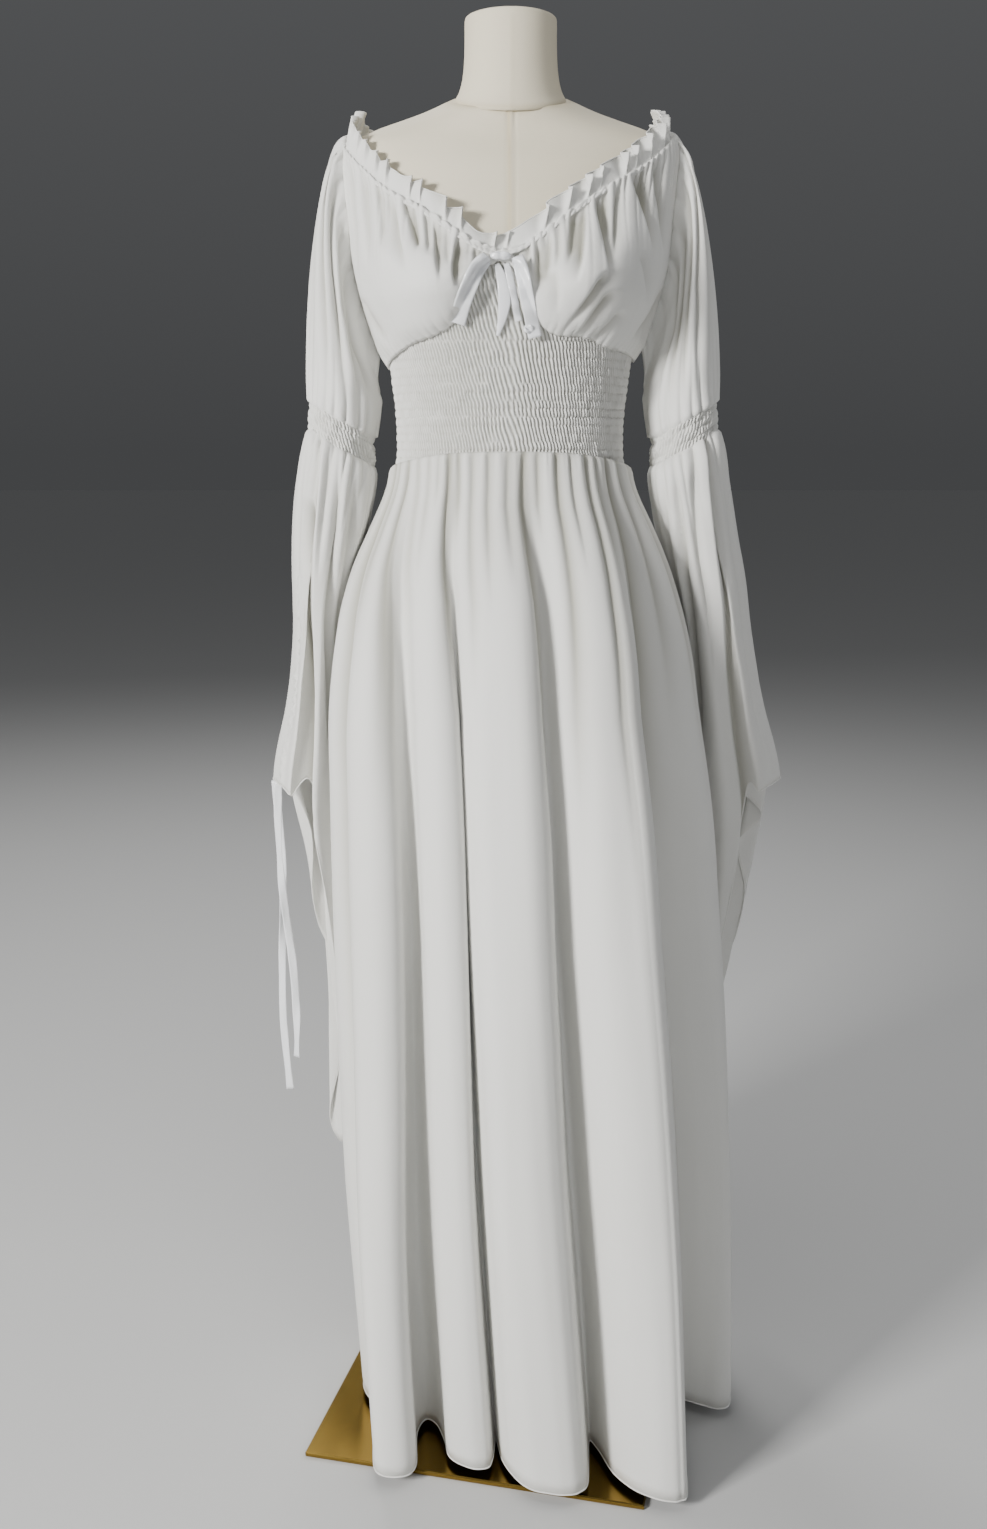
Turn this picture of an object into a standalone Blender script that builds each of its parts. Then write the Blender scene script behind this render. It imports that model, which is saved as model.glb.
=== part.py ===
"""Off-shoulder maxi dress with bell sleeves, on a limbless dress form that stands on a square plate.

Metres, +Z up, the front faces -Y and +X is on the viewer's right. The origin is the middle of the
plate's underside. Angles round the body start at the front and grow towards +X.
"""

import math

import bpy
import numpy as np

# Cloth and seams
CLOTH = 0.0015
RIBBON = 0.001
SEAM = 0.0003
RUFFLE_SEAM = 0.0008
BAND_SEAM = 0.0006
FORM_CLEARANCE = 0.0017

# Stand
PLATE_SIDE = 0.380
PLATE_THICKNESS = 0.006
PLATE_TURN = math.radians(-13)
POLE_RADIUS = 0.0125

# Heights of the main lines
HEM = 0.015
FORM_BOTTOM = 0.840
BUST_RINGS = [1.190, 1.230, 1.270]
FORM_BUST = 0.010
CLOTH_BUST = 0.016

# Round counts
TORSO_COLUMNS = 96
FORM_COLUMNS = 24
NECK_COLUMNS = 22
SKIRT_COLUMNS = 112
SLEEVE_COLUMNS = 32
RUFFLE_WAVES = 48
BAND_GATHERS = 14

# Reliefs
SKIRT_GATHER = 0.0022
BODICE_GATHER = 0.0012
SMOCKING = 0.0011
SMOCKED_CLOTH = 0.0028
RUFFLE_HEIGHT = 0.022
RUFFLE_WAVE = 0.0045
BAND_GATHER = 0.0016

# Shape of the body's rings, and angles round it: the middle of the bodice, a raglan seam's turn
ROUNDNESS = 0.90
FRONT_MIDDLE = -3.75
RAGLAN_TURN = 14.0


def columns(names, rows):
    """A table as one array for each named column."""
    return dict(zip(names.split(), np.array(rows, float).T))


FORM = columns("height half_width front back", [
    (0.840, 0.150, 0.103, 0.113),
    (0.855, 0.159, 0.109, 0.120),
    (0.900, 0.1630, 0.112, 0.125),
    (0.940, 0.1610, 0.110, 0.123),
    (0.990, 0.147, 0.103, 0.112),
    (1.040, 0.128, 0.093, 0.098),
    (1.090, 0.1145, 0.086, 0.088),
    (1.130, 0.1140, 0.088, 0.089),
    (1.170, 0.118, 0.094, 0.093),
    (1.210, 0.1245, 0.101, 0.099),
    (1.250, 0.134, 0.107, 0.104),
    (1.290, 0.143, 0.103, 0.107),
    (1.330, 0.150, 0.092, 0.106),
    (1.365, 0.157, 0.080, 0.099),
    (1.385, 0.1610, 0.072, 0.090),
    (1.398, 0.1600, 0.065, 0.081),
    (1.408, 0.1530, 0.060, 0.072),
    (1.4165, 0.1340, 0.057, 0.066),
    (1.4245, 0.1100, 0.0555, 0.063),
    (1.4320, 0.0880, 0.0545, 0.061),
    (1.4437, 0.0600, 0.0510, 0.0560),
])

NECK = columns("height radius", [
    (1.4440, 0.0560),
    (1.4520, 0.0525),
    (1.4620, 0.0500),
    (1.4770, 0.0482),
    (1.5050, 0.0472),
    (1.5300, 0.0468),
    (1.5345, 0.0440),
    (1.5370, 0.0370),
    (1.5380, 0.0200),
])

# How far the neck seam dips at the front and rises at the back, as a slope that fades in and out
NECK_TILT = columns("height front back", [
    (1.340, 0.00, 0.00),
    (1.400, 0.16, 0.00),
    (1.430, 0.30, 0.16),
    (1.444, 0.32, 0.32),
    (1.470, 0.18, 0.18),
    (1.510, 0.00, 0.00),
])

WAIST_SEAM = columns("angle height", [
    (-180, 1.084),
    (-90, 1.082),
    (-65, 1.088),
    (-35, 1.096),
    (0, 1.099),
    (35, 1.096),
    (65, 1.088),
    (90, 1.082),
    (180, 1.084),
])

UNDERBUST_SEAM = columns("angle height", [
    (-180, 1.186),
    (-90, 1.182),
    (-65, 1.193),
    (-45, 1.205),
    (-30, 1.213),
    (-24, 1.219),
    (-18, 1.235),
    (-12, 1.259),
    (-8, 1.273),
    (-5, 1.277),
    (-1, 1.276),
    (2, 1.267),
    (5, 1.246),
    (8, 1.228),
    (12, 1.217),
    (28, 1.209),
    (45, 1.200),
    (65, 1.195),
    (90, 1.190),
    (180, 1.186),
])

NECKLINE = columns("angle height", [
    (-180, 1.378),
    (-135, 1.388),
    (-113, 1.400),
    (-90, 1.409),
    (-67, 1.386),
    (-46, 1.350),
    (-28, 1.324),
    (-17, 1.303),
    (-9, 1.290),
    (-4, 1.286),
    (2, 1.290),
    (8, 1.301),
    (17, 1.320),
    (28, 1.342),
    (46, 1.369),
    (67, 1.399),
    (90, 1.411),
    (113, 1.402),
    (135, 1.388),
    (180, 1.378),
])

# How far the gathered cloth stands off the form, from the underbust seam (0) to the neckline (1)
BLOUSE = columns("rise share", [
    (0.00, 0.00),
    (0.08, 0.55),
    (0.22, 0.92),
    (0.40, 1.00),
    (0.65, 0.72),
    (0.85, 0.42),
    (1.00, 0.22),
])
BLOUSE_DEPTH = columns("angle depth", [(0, 0.006), (14, 0.016), (30, 0.024), (60, 0.019), (90, 0.014),
                                       (130, 0.010), (180, 0.009)])

SKIRT = columns("height left right front back", [
    (0.015, 0.172, 0.252, 0.150, 0.192),
    (0.280, 0.186, 0.248, 0.158, 0.188),
    (0.480, 0.187, 0.234, 0.160, 0.180),
    (0.610, 0.1875, 0.220, 0.157, 0.170),
    (0.740, 0.187, 0.207, 0.152, 0.160),
    (0.830, 0.186, 0.194, 0.147, 0.152),
    (0.900, 0.178, 0.184, 0.142, 0.145),
    (0.940, 0.173, 0.176, 0.137, 0.139),
    (0.985, 0.162, 0.164, 0.128, 0.130),
    (1.020, 0.148, 0.151, 0.118, 0.120),
    (1.060, 0.131, 0.133, 0.105, 0.106),
    (1.100, 0.1195, 0.1205, 0.092, 0.094),
])

# The flutes of the skirt, anticlockwise from above, from the left seam: the angle at the waist and the
# place at the hem of the valley where each one ends, the place of its crest, and how sharp the valley is
FLUTES = columns("waist_angle valley_x valley_y crest_x crest_y sharp", [
    (-72.0, -0.150, -0.078, -0.1715, -0.028, 0.4),
    (-52.0, -0.089, -0.100, -0.1265, -0.1940, 0.1),
    (-25.5, -0.0133, -0.1275, -0.0460, -0.1838, 0.7),
    (8.0, 0.0908, -0.136, 0.0353, -0.2228, 0.7),
    (48.0, 0.198, -0.062, 0.1720, -0.2370, 0.7),
    (90.0, 0.222, 0.004, 0.2532, -0.076, 0.4),
    (112.0, 0.172, 0.094, 0.232, 0.070, 0.5),
    (140.0, 0.102, 0.132, 0.166, 0.196, 0.5),
    (168.0, 0.018, 0.148, 0.060, 0.216, 0.6),
    (198.0, -0.072, 0.136, -0.036, 0.212, 0.5),
    (232.0, -0.126, 0.092, -0.122, 0.184, 0.5),
    (270.0, -0.150, 0.008, -0.164, 0.060, 0.4),
])

# The elbow end of each upper sleeve, and the lower sleeve by its drop below the elbow band
ELBOW = {
    "left": dict(outer=0.2085, inner=0.1460, depth=0.046, middle=0.004, top_outer=1.148, top_inner=1.111),
    "right": dict(outer=0.2150, inner=0.1520, depth=0.046, middle=0.004, top_outer=1.148, top_inner=1.111),
}
BAND_HEIGHT = 0.026

LOWER_SLEEVE = {
    "left": columns("drop outer inner front back", [
        (0.000, 0.2085, 0.1460, -0.042, 0.050),
        (0.010, 0.2185, 0.1450, -0.052, 0.062),
        (0.055, 0.2280, 0.1500, -0.054, 0.076),
        (0.110, 0.2320, 0.1660, -0.046, 0.088),
        (0.160, 0.2345, 0.1800, -0.036, 0.100),
        (0.220, 0.2360, 0.1880, -0.028, 0.112),
        (0.300, 0.2450, 0.1930, -0.018, 0.124),
        (0.390, 0.2640, 0.1945, -0.006, 0.136),
        (0.520, 0.2440, 0.1900, 0.018, 0.148),
        (0.660, 0.2340, 0.1850, 0.040, 0.160),
        (0.870, 0.2390, 0.1830, 0.060, 0.168),
    ]),
    "right": columns("drop outer inner front back", [
        (0.000, 0.2150, 0.1520, -0.042, 0.050),
        (0.010, 0.2290, 0.1510, -0.052, 0.062),
        (0.055, 0.2405, 0.1560, -0.054, 0.076),
        (0.110, 0.2495, 0.1700, -0.046, 0.088),
        (0.160, 0.2550, 0.1840, -0.038, 0.100),
        (0.220, 0.2650, 0.1950, -0.030, 0.112),
        (0.300, 0.2810, 0.2060, -0.020, 0.126),
        (0.390, 0.3060, 0.2150, -0.006, 0.140),
        (0.520, 0.2920, 0.2220, 0.026, 0.164),
        (0.660, 0.2660, 0.2160, 0.056, 0.184),
        (0.850, 0.2500, 0.2030, 0.088, 0.200),
    ]),
}

# How far below the elbow band the hem hangs; 0 is the inner side, 90 the front and 180 the outer side
SLEEVE_HEM = columns("angle drop", [
    (0, 0.720),
    (40, 0.680),
    (75, 0.620),
    (105, 0.540),
    (130, 0.430),
    (150, 0.392),
    (180, 0.388),
    (205, 0.400),
    (222, 0.460),
    (240, 0.620),
    (262, 0.805),
    (290, 0.868),
    (325, 0.815),
    (360, 0.720),
])

# Soft folds of the lower sleeve: the angle of each crest, and how far it stands out at the hem
SLEEVE_FOLDS = columns("angle width depth", [
    (20, 16, 0.006),
    (62, 16, 0.008),
    (112, 13, 0.009),
    (178, 15, 0.008),
    (238, 15, 0.010),
    (285, 14, 0.009),
    (325, 14, 0.008),
])

BOW_KNOT = dict(x=-0.0105, height=1.2800, width=0.020, tall=0.0085, depth=0.009)
BOW_RIBBONS = {
    "bow_loop_left": dict(width=0.0125, out=0.0030, route=[
        (-0.0225, 1.2790), (-0.0315, 1.2690), (-0.0395, 1.2530), (-0.0470, 1.2350), (-0.0520, 1.2190)]),
    "bow_tail_middle": dict(width=0.0120, out=0.0012, route=[
        (-0.0140, 1.2735), (-0.0090, 1.2590), (-0.0065, 1.2440), (-0.0080, 1.2280), (-0.0130, 1.2080)]),
    "bow_loop_right": dict(width=0.0065, out=0.0046, route=[
        (-0.0050, 1.2735), (-0.0015, 1.2600), (0.0020, 1.2450), (0.0045, 1.2320), (0.0070, 1.2210)]),
    "bow_tail_right": dict(width=0.0105, out=0.0056, route=[
        (0.0055, 1.2790), (0.0100, 1.2640), (0.0140, 1.2450), (0.0185, 1.2250), (0.0230, 1.2060)]),
}

# The free ends of the left sleeve's drawstring, from the corner of its hem
SLEEVE_RIBBON_WIDTH = 0.009
SLEEVE_RIBBONS = {
    "sleeve_ribbon_left_long": dict(turn=168.0, length=0.372, drift=(0.0080, -0.0060), sway=0.004),
    "sleeve_ribbon_left_short": dict(turn=154.0, length=0.325, drift=(0.0120, -0.0040), sway=-0.004),
}


def along(table, key, column, at):
    """A column's value on a smooth curve through the table's rows, at values of the key column."""
    x, y = table[key], table[column]
    slope = np.gradient(y, x)
    at = np.clip(np.asarray(at, float), x[0], x[-1])
    i = np.clip(np.searchsorted(x, at, side="right") - 1, 0, len(x) - 2)
    step = x[i + 1] - x[i]
    t = (at - x[i]) / step
    return ((2 * t**3 - 3 * t**2 + 1) * y[i] + (t**3 - 2 * t**2 + t) * step * slope[i]
            + (3 * t**2 - 2 * t**3) * y[i + 1] + (t**3 - t**2) * step * slope[i + 1])


def seam_height(table, degrees):
    """The height of a seam at an angle round the body."""
    return np.interp((np.asarray(degrees, float) + 180) % 360 - 180, table["angle"], table["height"])


def oval(degrees, left, right, front, back):
    """x and y on an egg-shaped ring; its four reaches may all differ."""
    s, c = np.sin(np.radians(degrees)), np.cos(np.radians(degrees))
    x = np.where(s > 0, right, left) * np.sign(s) * np.abs(s) ** ROUNDNESS
    y = -np.where(c > 0, front, back) * np.sign(c) * np.abs(c) ** ROUNDNESS
    return x, y


def body_point(degrees, height, out=0.0, bust_depth=CLOTH_BUST):
    """A point of the body's outline at a distance outside the form; the cloth fills the bust out more."""
    half = along(FORM, "height", "half_width", height) + out
    front = along(FORM, "height", "front", height) + out
    back = along(FORM, "height", "back", height) + out
    x, y = oval(degrees, half, half, front, back)
    bust = bust_depth * np.exp(-(((np.abs(x) - 0.070) / 0.042) ** 2) - ((height - 1.262) / 0.045) ** 2)
    y = y - np.where(y < 0, bust, 0.0)
    return np.stack(np.broadcast_arrays(x, y, height), axis=-1)


def blouse(degrees, height):
    """How far the bodice's outer side stands off the form."""
    low = seam_height(UNDERBUST_SEAM, degrees)
    rise = (height - low) / (seam_height(NECKLINE, degrees) - low)
    from_middle = degrees - FRONT_MIDDLE * np.cos(np.radians(degrees))
    depth = along(BLOUSE_DEPTH, "angle", "depth", np.abs((from_middle + 180) % 360 - 180))
    return SMOCKED_CLOTH + FORM_CLEARANCE + depth * along(BLOUSE, "rise", "share", rise)


def bodice_point(degrees, height, out=0.0):
    """A point of the bodice's outer side, moved out by a distance."""
    return body_point(degrees, height, blouse(degrees, height) + out)


def new_material(name, colour, roughness, metallic=0.0):
    material = bpy.data.materials.new(name)
    material.use_nodes = True
    shader = material.node_tree.nodes["Principled BSDF"]
    shader.inputs["Base Color"].default_value = (*colour, 1.0)
    shader.inputs["Roughness"].default_value = roughness
    shader.inputs["Metallic"].default_value = metallic
    return material


def grid_faces(rows, across, closed, flip, start=0):
    """Four-sided faces of a grid whose rows run downwards; closed joins its last column to its first."""
    r, c = np.meshgrid(np.arange(rows - 1), np.arange(across if closed else across - 1), indexing="ij")
    after = (c + 1) % across
    faces = np.stack([r * across + c, (r + 1) * across + c, (r + 1) * across + after, r * across + after], -1)
    faces = faces.reshape(-1, 4) + start
    return (faces[:, ::-1] if flip else faces).tolist()


def add_object(name, points, faces, material):
    mesh = bpy.data.meshes.new(name)
    mesh.from_pydata(np.asarray(points).reshape(-1, 3).tolist(), [], faces)
    mesh.update()
    mesh.shade_smooth()
    obj = bpy.data.objects.new(name, mesh)
    obj.data.materials.append(material)
    collection.objects.link(obj)
    return obj


def cloth(name, points, material, closed=False, flip=False, thickness=CLOTH):
    """A wall of cloth: an open grid of points, with its thickness on the inner side."""
    rows, across = points.shape[:2]
    obj = add_object(name, points, grid_faces(rows, across, closed, flip), material)
    solidify = obj.modifiers.new("Thickness", "SOLIDIFY")
    solidify.thickness = thickness
    solidify.offset = -1.0
    return obj


def solid_rings(name, rings, material):
    """A closed body through rings that run downwards, flat at both ends."""
    rows, across = rings.shape[:2]
    faces = grid_faces(rows, across, True, False)
    faces.append(list(range(across)))
    faces.append([(rows - 1) * across + i for i in range(across)][::-1])
    return add_object(name, rings, faces, material)


def raised_tube(name, outer, inner, material, flip=False):
    """A closed tube with a raised outer grid over a plain inner one that has fewer columns."""
    rows, across = outer.shape[:2]
    inner_rows, inner_across = inner.shape[:2]
    count = rows * across
    points = np.concatenate([outer.reshape(-1, 3), inner.reshape(-1, 3)])
    faces = grid_faces(rows, across, True, flip)
    faces += grid_faces(inner_rows, inner_across, True, not flip, count)
    share = across // inner_across
    for outer_row, inner_row, turned in ((0, 0, flip), (rows - 1, inner_rows - 1, not flip)):
        for i in range(inner_across):
            inner_a = count + inner_row * inner_across + i
            inner_b = count + inner_row * inner_across + (i + 1) % inner_across
            edge = [outer_row * across + (i * share + k) % across for k in range(share + 1)]
            face = [inner_a, *edge, inner_b]
            faces.append(face[::-1] if turned else face)
    return add_object(name, points, faces, material)


def make_stand():
    """The square plate, lying on the floor, and the pole up to the form's underside."""
    bpy.ops.mesh.primitive_cube_add(size=1, location=(0, 0, PLATE_THICKNESS / 2), rotation=(0, 0, PLATE_TURN))
    plate = bpy.context.object
    plate.name = "stand_base"
    plate.scale = (PLATE_SIDE, PLATE_SIDE, PLATE_THICKNESS)
    bpy.ops.object.transform_apply(location=False, rotation=False, scale=True)
    bevel = plate.modifiers.new("Edge", "BEVEL")
    bevel.width = 0.0012
    bevel.segments = 1
    place(plate, brass)
    low = PLATE_THICKNESS + SEAM
    high = FORM_BOTTOM - SEAM
    bpy.ops.mesh.primitive_cylinder_add(
        vertices=20, radius=POLE_RADIUS, depth=high - low, location=(0, 0, (low + high) / 2))
    pole = bpy.context.object
    pole.name = "stand_pole"
    pole.data.shade_smooth()
    pole.data.set_sharp_from_angle(angle=math.radians(40))
    place(pole, brass)


def place(obj, material):
    """Gives a primitive its material and moves it to the dress's collection."""
    obj.data.materials.append(material)
    for owner in obj.users_collection:
        owner.objects.unlink(obj)
    collection.objects.link(obj)


def tilted(points):
    """Points of the form with the neck seam lower at the front and higher at the back."""
    moved = points.copy()
    height, y = points[..., 2], points[..., 1]
    front = along(NECK_TILT, "height", "front", height)
    back = along(NECK_TILT, "height", "back", height)
    moved[..., 2] = height + np.where(y < 0, front, back) * y
    return moved


def make_form():
    """The torso through its rings, and the neck block through round ones above the neck seam."""
    angles = np.arange(FORM_COLUMNS) * 360 / FORM_COLUMNS
    heights = np.sort(np.concatenate([FORM["height"], BUST_RINGS]))[::-1]
    rings = body_point(angles[None, :], np.repeat(heights[:, None], len(angles), 1), 0.0, FORM_BUST)
    solid_rings("form_torso", tilted(rings), linen)
    turn = np.radians(np.arange(NECK_COLUMNS) * 360 / NECK_COLUMNS)
    height, radius = NECK["height"][::-1, None], NECK["radius"][::-1, None]
    rings = np.stack([radius * np.sin(turn), -radius * np.cos(turn), height + 0 * turn], -1)
    solid_rings("form_neck", tilted(rings), linen)


def make_midriff():
    """The smocked band: small gathers that change places from one elastic row to the next."""
    angles = np.arange(TORSO_COLUMNS) * 360 / TORSO_COLUMNS
    rows = 11
    share = np.linspace(1, 0, rows)[:, None]
    low = seam_height(WAIST_SEAM, angles) + SEAM
    high = seam_height(UNDERBUST_SEAM, angles)
    height = low + share * (high - low)
    turn = (np.arange(rows)[:, None] + np.arange(TORSO_COLUMNS)[None, :]) % 2
    raised = SMOCKED_CLOTH - SMOCKING + SMOCKING * turn
    outer = body_point(angles[None, :], height, FORM_CLEARANCE + raised)
    inner_rows = [0, 1, 2, 3, 4, 6, rows - 1]
    inner = body_point(angles[None, ::2], height[inner_rows][:, ::2], FORM_CLEARANCE)
    raised_tube("midriff", outer, inner, white_cloth)


# Rows of a bodice panel, from the underbust seam (0) to the neckline (1); the second one is the armpit
PANEL_RISE = np.array([0.0, 0.09, 0.24, 0.40, 0.56, 0.72, 0.87, 1.0])


def side_seam(side, back):
    """Angles and heights of a bodice panel's side edge: the side seam, then the raglan seam."""
    rise = np.clip((PANEL_RISE - PANEL_RISE[1]) / (1 - PANEL_RISE[1]), 0, 1)
    turn = RAGLAN_TURN * rise**1.2
    angle = side * (90 + turn if back else 90 - turn)
    low = seam_height(UNDERBUST_SEAM, side * 90)
    high = seam_height(NECKLINE, angle[-1])
    return angle, low + PANEL_RISE * (high - low)


def bodice_panel(side, start, back, across):
    """Points of a panel from an angle at its middle to its side seam, rows running down."""
    edge, _ = side_seam(side, back)
    share = np.linspace(0, 1, across)
    angle = start + (edge[:, None] - start) * share[None, :]
    low = seam_height(UNDERBUST_SEAM, angle[0])
    steep = np.gradient(low, np.radians(angle[0]) * 0.13)
    low = low + SEAM * np.sqrt(1 + steep**2)
    high = seam_height(NECKLINE, angle[-1]) - RUFFLE_SEAM
    height = low[None, :] + PANEL_RISE[:, None] * (high - low)[None, :]
    crest = np.where(np.arange(across) % 2, 1.0, -1.0) * np.sin(np.pi * share) ** 0.3
    swell = BODICE_GATHER * crest[None, :] * np.sin(np.pi * PANEL_RISE[:, None]) ** 0.5
    return bodice_point(angle, height, swell)[::-1]


def make_bodice():
    """Two front panels that meet under the bow, and one across the back."""
    gap = np.degrees(SEAM / 2 / 0.11)
    right = bodice_panel(1, FRONT_MIDDLE + gap, False, 26)
    cloth("bodice_front_right", right, white_cloth)
    left = bodice_panel(-1, FRONT_MIDDLE - gap, False, 24)
    cloth("bodice_front_left", left, white_cloth, flip=True)
    half = bodice_panel(1, 180.0, True, 15)[:, ::-1]
    other = bodice_panel(-1, -180.0, True, 15)[:, 1:]
    whole = np.concatenate([half, other], axis=1)
    cloth("bodice_back", whole + np.array([0.0, SEAM, 0.0]), white_cloth)


def make_ruffle():
    """The ruffle stands above the neckline elastic; its waves grow towards the pointed tips."""
    count = RUFFLE_WAVES * 2
    angles = np.arange(count) * 360 / count
    low = seam_height(NECKLINE, angles)
    wave = np.where(np.arange(count) % 2, 1.0, -1.0)
    rows = []
    for rise, out, waviness in ((1.0, 0.0030, 1.0), (0.40, 0.0005, 0.55), (0.0, 0.0, 0.12)):
        foot = body_point(angles, low, blouse(angles, low) + out + RUFFLE_WAVE * waviness * wave)
        turn = np.radians(angles)
        lean_x = -np.sin(turn) * np.abs(np.sin(turn)) * 0.010 * rise
        lean_y = np.cos(turn) * 0.005 * rise
        short = 1 - 0.35 * np.exp(-(((angles + 180) % 360 - 180 - FRONT_MIDDLE) / 9.0) ** 2)
        tip = RUFFLE_HEIGHT * rise * short + 0.002 * waviness * rise * wave
        rows.append(foot + np.stack([lean_x, lean_y, tip], axis=-1))
    cloth("neck_ruffle", np.stack(rows), white_cloth, closed=True, thickness=0.0012)


def resample(points, count):
    """A chain of points with every stretch cut into equal shares."""
    old = np.arange(len(points))
    new = np.linspace(0, len(points) - 1, count)
    return np.stack([np.interp(new, old, points[:, k]) for k in range(3)], axis=-1)


def sleeve_top(side):
    """The closed edge of an upper sleeve: up the front raglan seam, over the shoulder, down the back."""
    sign = -1 if side == "left" else 1
    seams = []
    for back in (False, True):
        angle, height = side_seam(sign, back)
        seams.append(resample(bodice_point(angle[1:], height[1:]), 13))
    angle = np.linspace(90 - RAGLAN_TURN, 90 + RAGLAN_TURN, 9) * sign
    over = bodice_point(angle, seam_height(NECKLINE, angle) - RUFFLE_SEAM)
    return np.concatenate([seams[0][:-1], over[:-1], seams[1][:0:-1]])


def elbow_ring(side, turn, drop):
    """The ring of the elbow band at a distance below its top edge; turn 0 is the inner side."""
    size = ELBOW[side]
    mirror = -1.0 if side == "left" else 1.0
    centre = (size["outer"] + size["inner"]) / 2
    radius = (size["outer"] - size["inner"]) / 2
    x = mirror * (centre - radius * np.cos(turn))
    y = size["middle"] - size["depth"] * np.sin(turn)
    tilt = (size["top_outer"] - size["top_inner"]) / 2
    z = (size["top_outer"] + size["top_inner"]) / 2 - tilt * np.cos(turn) - drop
    return np.stack([x, y, z], axis=-1)


def make_upper_sleeve(side):
    """Each column leaves the neckline or the raglan seam outwards and falls to the elbow band."""
    mirror = -1.0 if side == "left" else 1.0
    top = sleeve_top(side)
    turn = np.arange(SLEEVE_COLUMNS) * 2 * np.pi / SLEEVE_COLUMNS
    end = elbow_ring(side, turn, -BAND_SEAM)
    outer = (1 - np.cos(turn)) / 2
    leave = np.stack([mirror * (0.035 + 0.080 * outer), -0.085 * np.sin(turn), -0.17 + 0.18 * outer], -1)
    arrive = np.stack([mirror * (0.070 - 0.095 * outer), 0 * turn, -0.20 + 0 * turn], -1)
    t = np.linspace(0, 1, 7)[:, None, None]
    points = ((2 * t**3 - 3 * t**2 + 1) * top + (t**3 - 2 * t**2 + t) * leave
              + (3 * t**2 - 2 * t**3) * end + (t**3 - t**2) * arrive)
    start = leave / np.linalg.norm(leave, axis=-1, keepdims=True)
    points[0] = points[0] + 1.5 * SEAM * start
    wave = np.where(np.arange(SLEEVE_COLUMNS) % 2, 1.0, -1.0)[None, :, None]
    swell = 0.002 * np.sin(np.pi * t) * wave
    away = np.stack([-mirror * np.cos(turn), -np.sin(turn), 0 * turn], -1)
    cloth("upper_sleeve_" + side, points + swell * away, white_cloth, closed=True, flip=side == "left")


def make_elbow_band(side):
    """The shirred band: gathers that stand out between the elastic rows over a plain inside."""
    across = BAND_GATHERS * 4
    turn = np.arange(across) * 2 * np.pi / across
    mirror = -1.0 if side == "left" else 1.0
    away = np.stack([-mirror * np.cos(turn), -np.sin(turn), 0 * turn], -1)
    crest = np.where(np.arange(across) % 2, 1.0, 0.0)
    rows = []
    for row, drop in enumerate(np.linspace(SEAM, BAND_HEIGHT - SEAM, 4)):
        raised = BAND_GATHER * (crest if row in (1, 2) else 0.35 * crest)
        rows.append(elbow_ring(side, turn, drop) + away * raised[:, None])
    outer = np.stack(rows)
    plain = turn[::4]
    inward = np.stack([mirror * np.cos(plain), np.sin(plain), 0 * plain], -1) * CLOTH
    inner = np.stack([elbow_ring(side, plain, drop) + inward for drop in (SEAM, BAND_HEIGHT - SEAM)])
    raised_tube("elbow_band_" + side, outer, inner, white_cloth, flip=side == "left")


def lower_sleeve_points(side, rows):
    """The bell sleeve: rings by their drop below the band, cut off at a hem that is long at the back."""
    table = LOWER_SLEEVE[side]
    mirror = -1.0 if side == "left" else 1.0
    turn = np.arange(SLEEVE_COLUMNS) * 2 * np.pi / SLEEVE_COLUMNS
    degrees = np.degrees(turn)
    hem = along(SLEEVE_HEM, "angle", "drop", degrees)
    share = np.array(rows)[:, None]
    drop = share * hem[None, :]
    outer, inner, front, back = (along(table, "drop", name, drop) for name in ("outer", "inner", "front", "back"))
    x = mirror * ((outer + inner) / 2 - (outer - inner) / 2 * np.cos(turn))
    y = (front + back) / 2 - (back - front) / 2 * np.sin(turn)
    swell = np.zeros_like(drop)
    for angle, width, depth in zip(SLEEVE_FOLDS["angle"], SLEEVE_FOLDS["width"], SLEEVE_FOLDS["depth"]):
        apart = (degrees - angle + 180) % 360 - 180
        swell = swell + depth * np.exp(-((apart / width) ** 2)) * np.clip(drop / 0.3, 0, 1)
    outward = (1 - np.cos(turn)) / 2
    x = x - mirror * np.cos(turn) * (swell - 0.003 * np.clip(drop / 0.3, 0, 1)) * outward
    y = y - np.sin(turn) * swell
    z = elbow_ring(side, turn, BAND_HEIGHT)[None, :, 2] - drop
    return np.stack([x, y, z], axis=-1)


def make_lower_sleeve(side):
    rows = [0.0, 0.03, 0.14, 0.30, 0.48, 0.66, 0.84, 1.0]
    points = lower_sleeve_points(side, rows)
    cloth("lower_sleeve_" + side, points, white_cloth, closed=True, flip=side == "left")


def hem_curve(angle):
    """The hem seen from above: round flutes between valleys, at angles measured at the waist."""
    ends = FLUTES["waist_angle"]
    starts = np.concatenate([[ends[-1] - 360], ends[:-1]])
    valley = np.stack([FLUTES["valley_x"], FLUTES["valley_y"]], -1)
    crest = np.stack([FLUTES["crest_x"], FLUTES["crest_y"]], -1)
    before = np.roll(valley, 1, axis=0)
    angle = (np.asarray(angle, float) + 90) % 360 - 90
    k = np.clip(np.searchsorted(ends, angle, side="left"), 0, len(ends) - 1)
    t = (angle - starts[k]) / (ends[k] - starts[k])
    bell = (1 - np.cos(2 * np.pi * t)) / 2
    sharp = np.roll(FLUTES["sharp"], 1)[k] * (1 - t) + FLUTES["sharp"][k] * t
    rise = ((1 - sharp) * bell + sharp * np.sin(np.pi * t))[:, None]
    across = (t - 0.16 * sharp * np.sin(2 * np.pi * t))[:, None]
    line = before[k] * (1 - across) + valley[k] * across
    return line + (crest[k] - (before[k] + valley[k]) / 2) * rise


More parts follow.
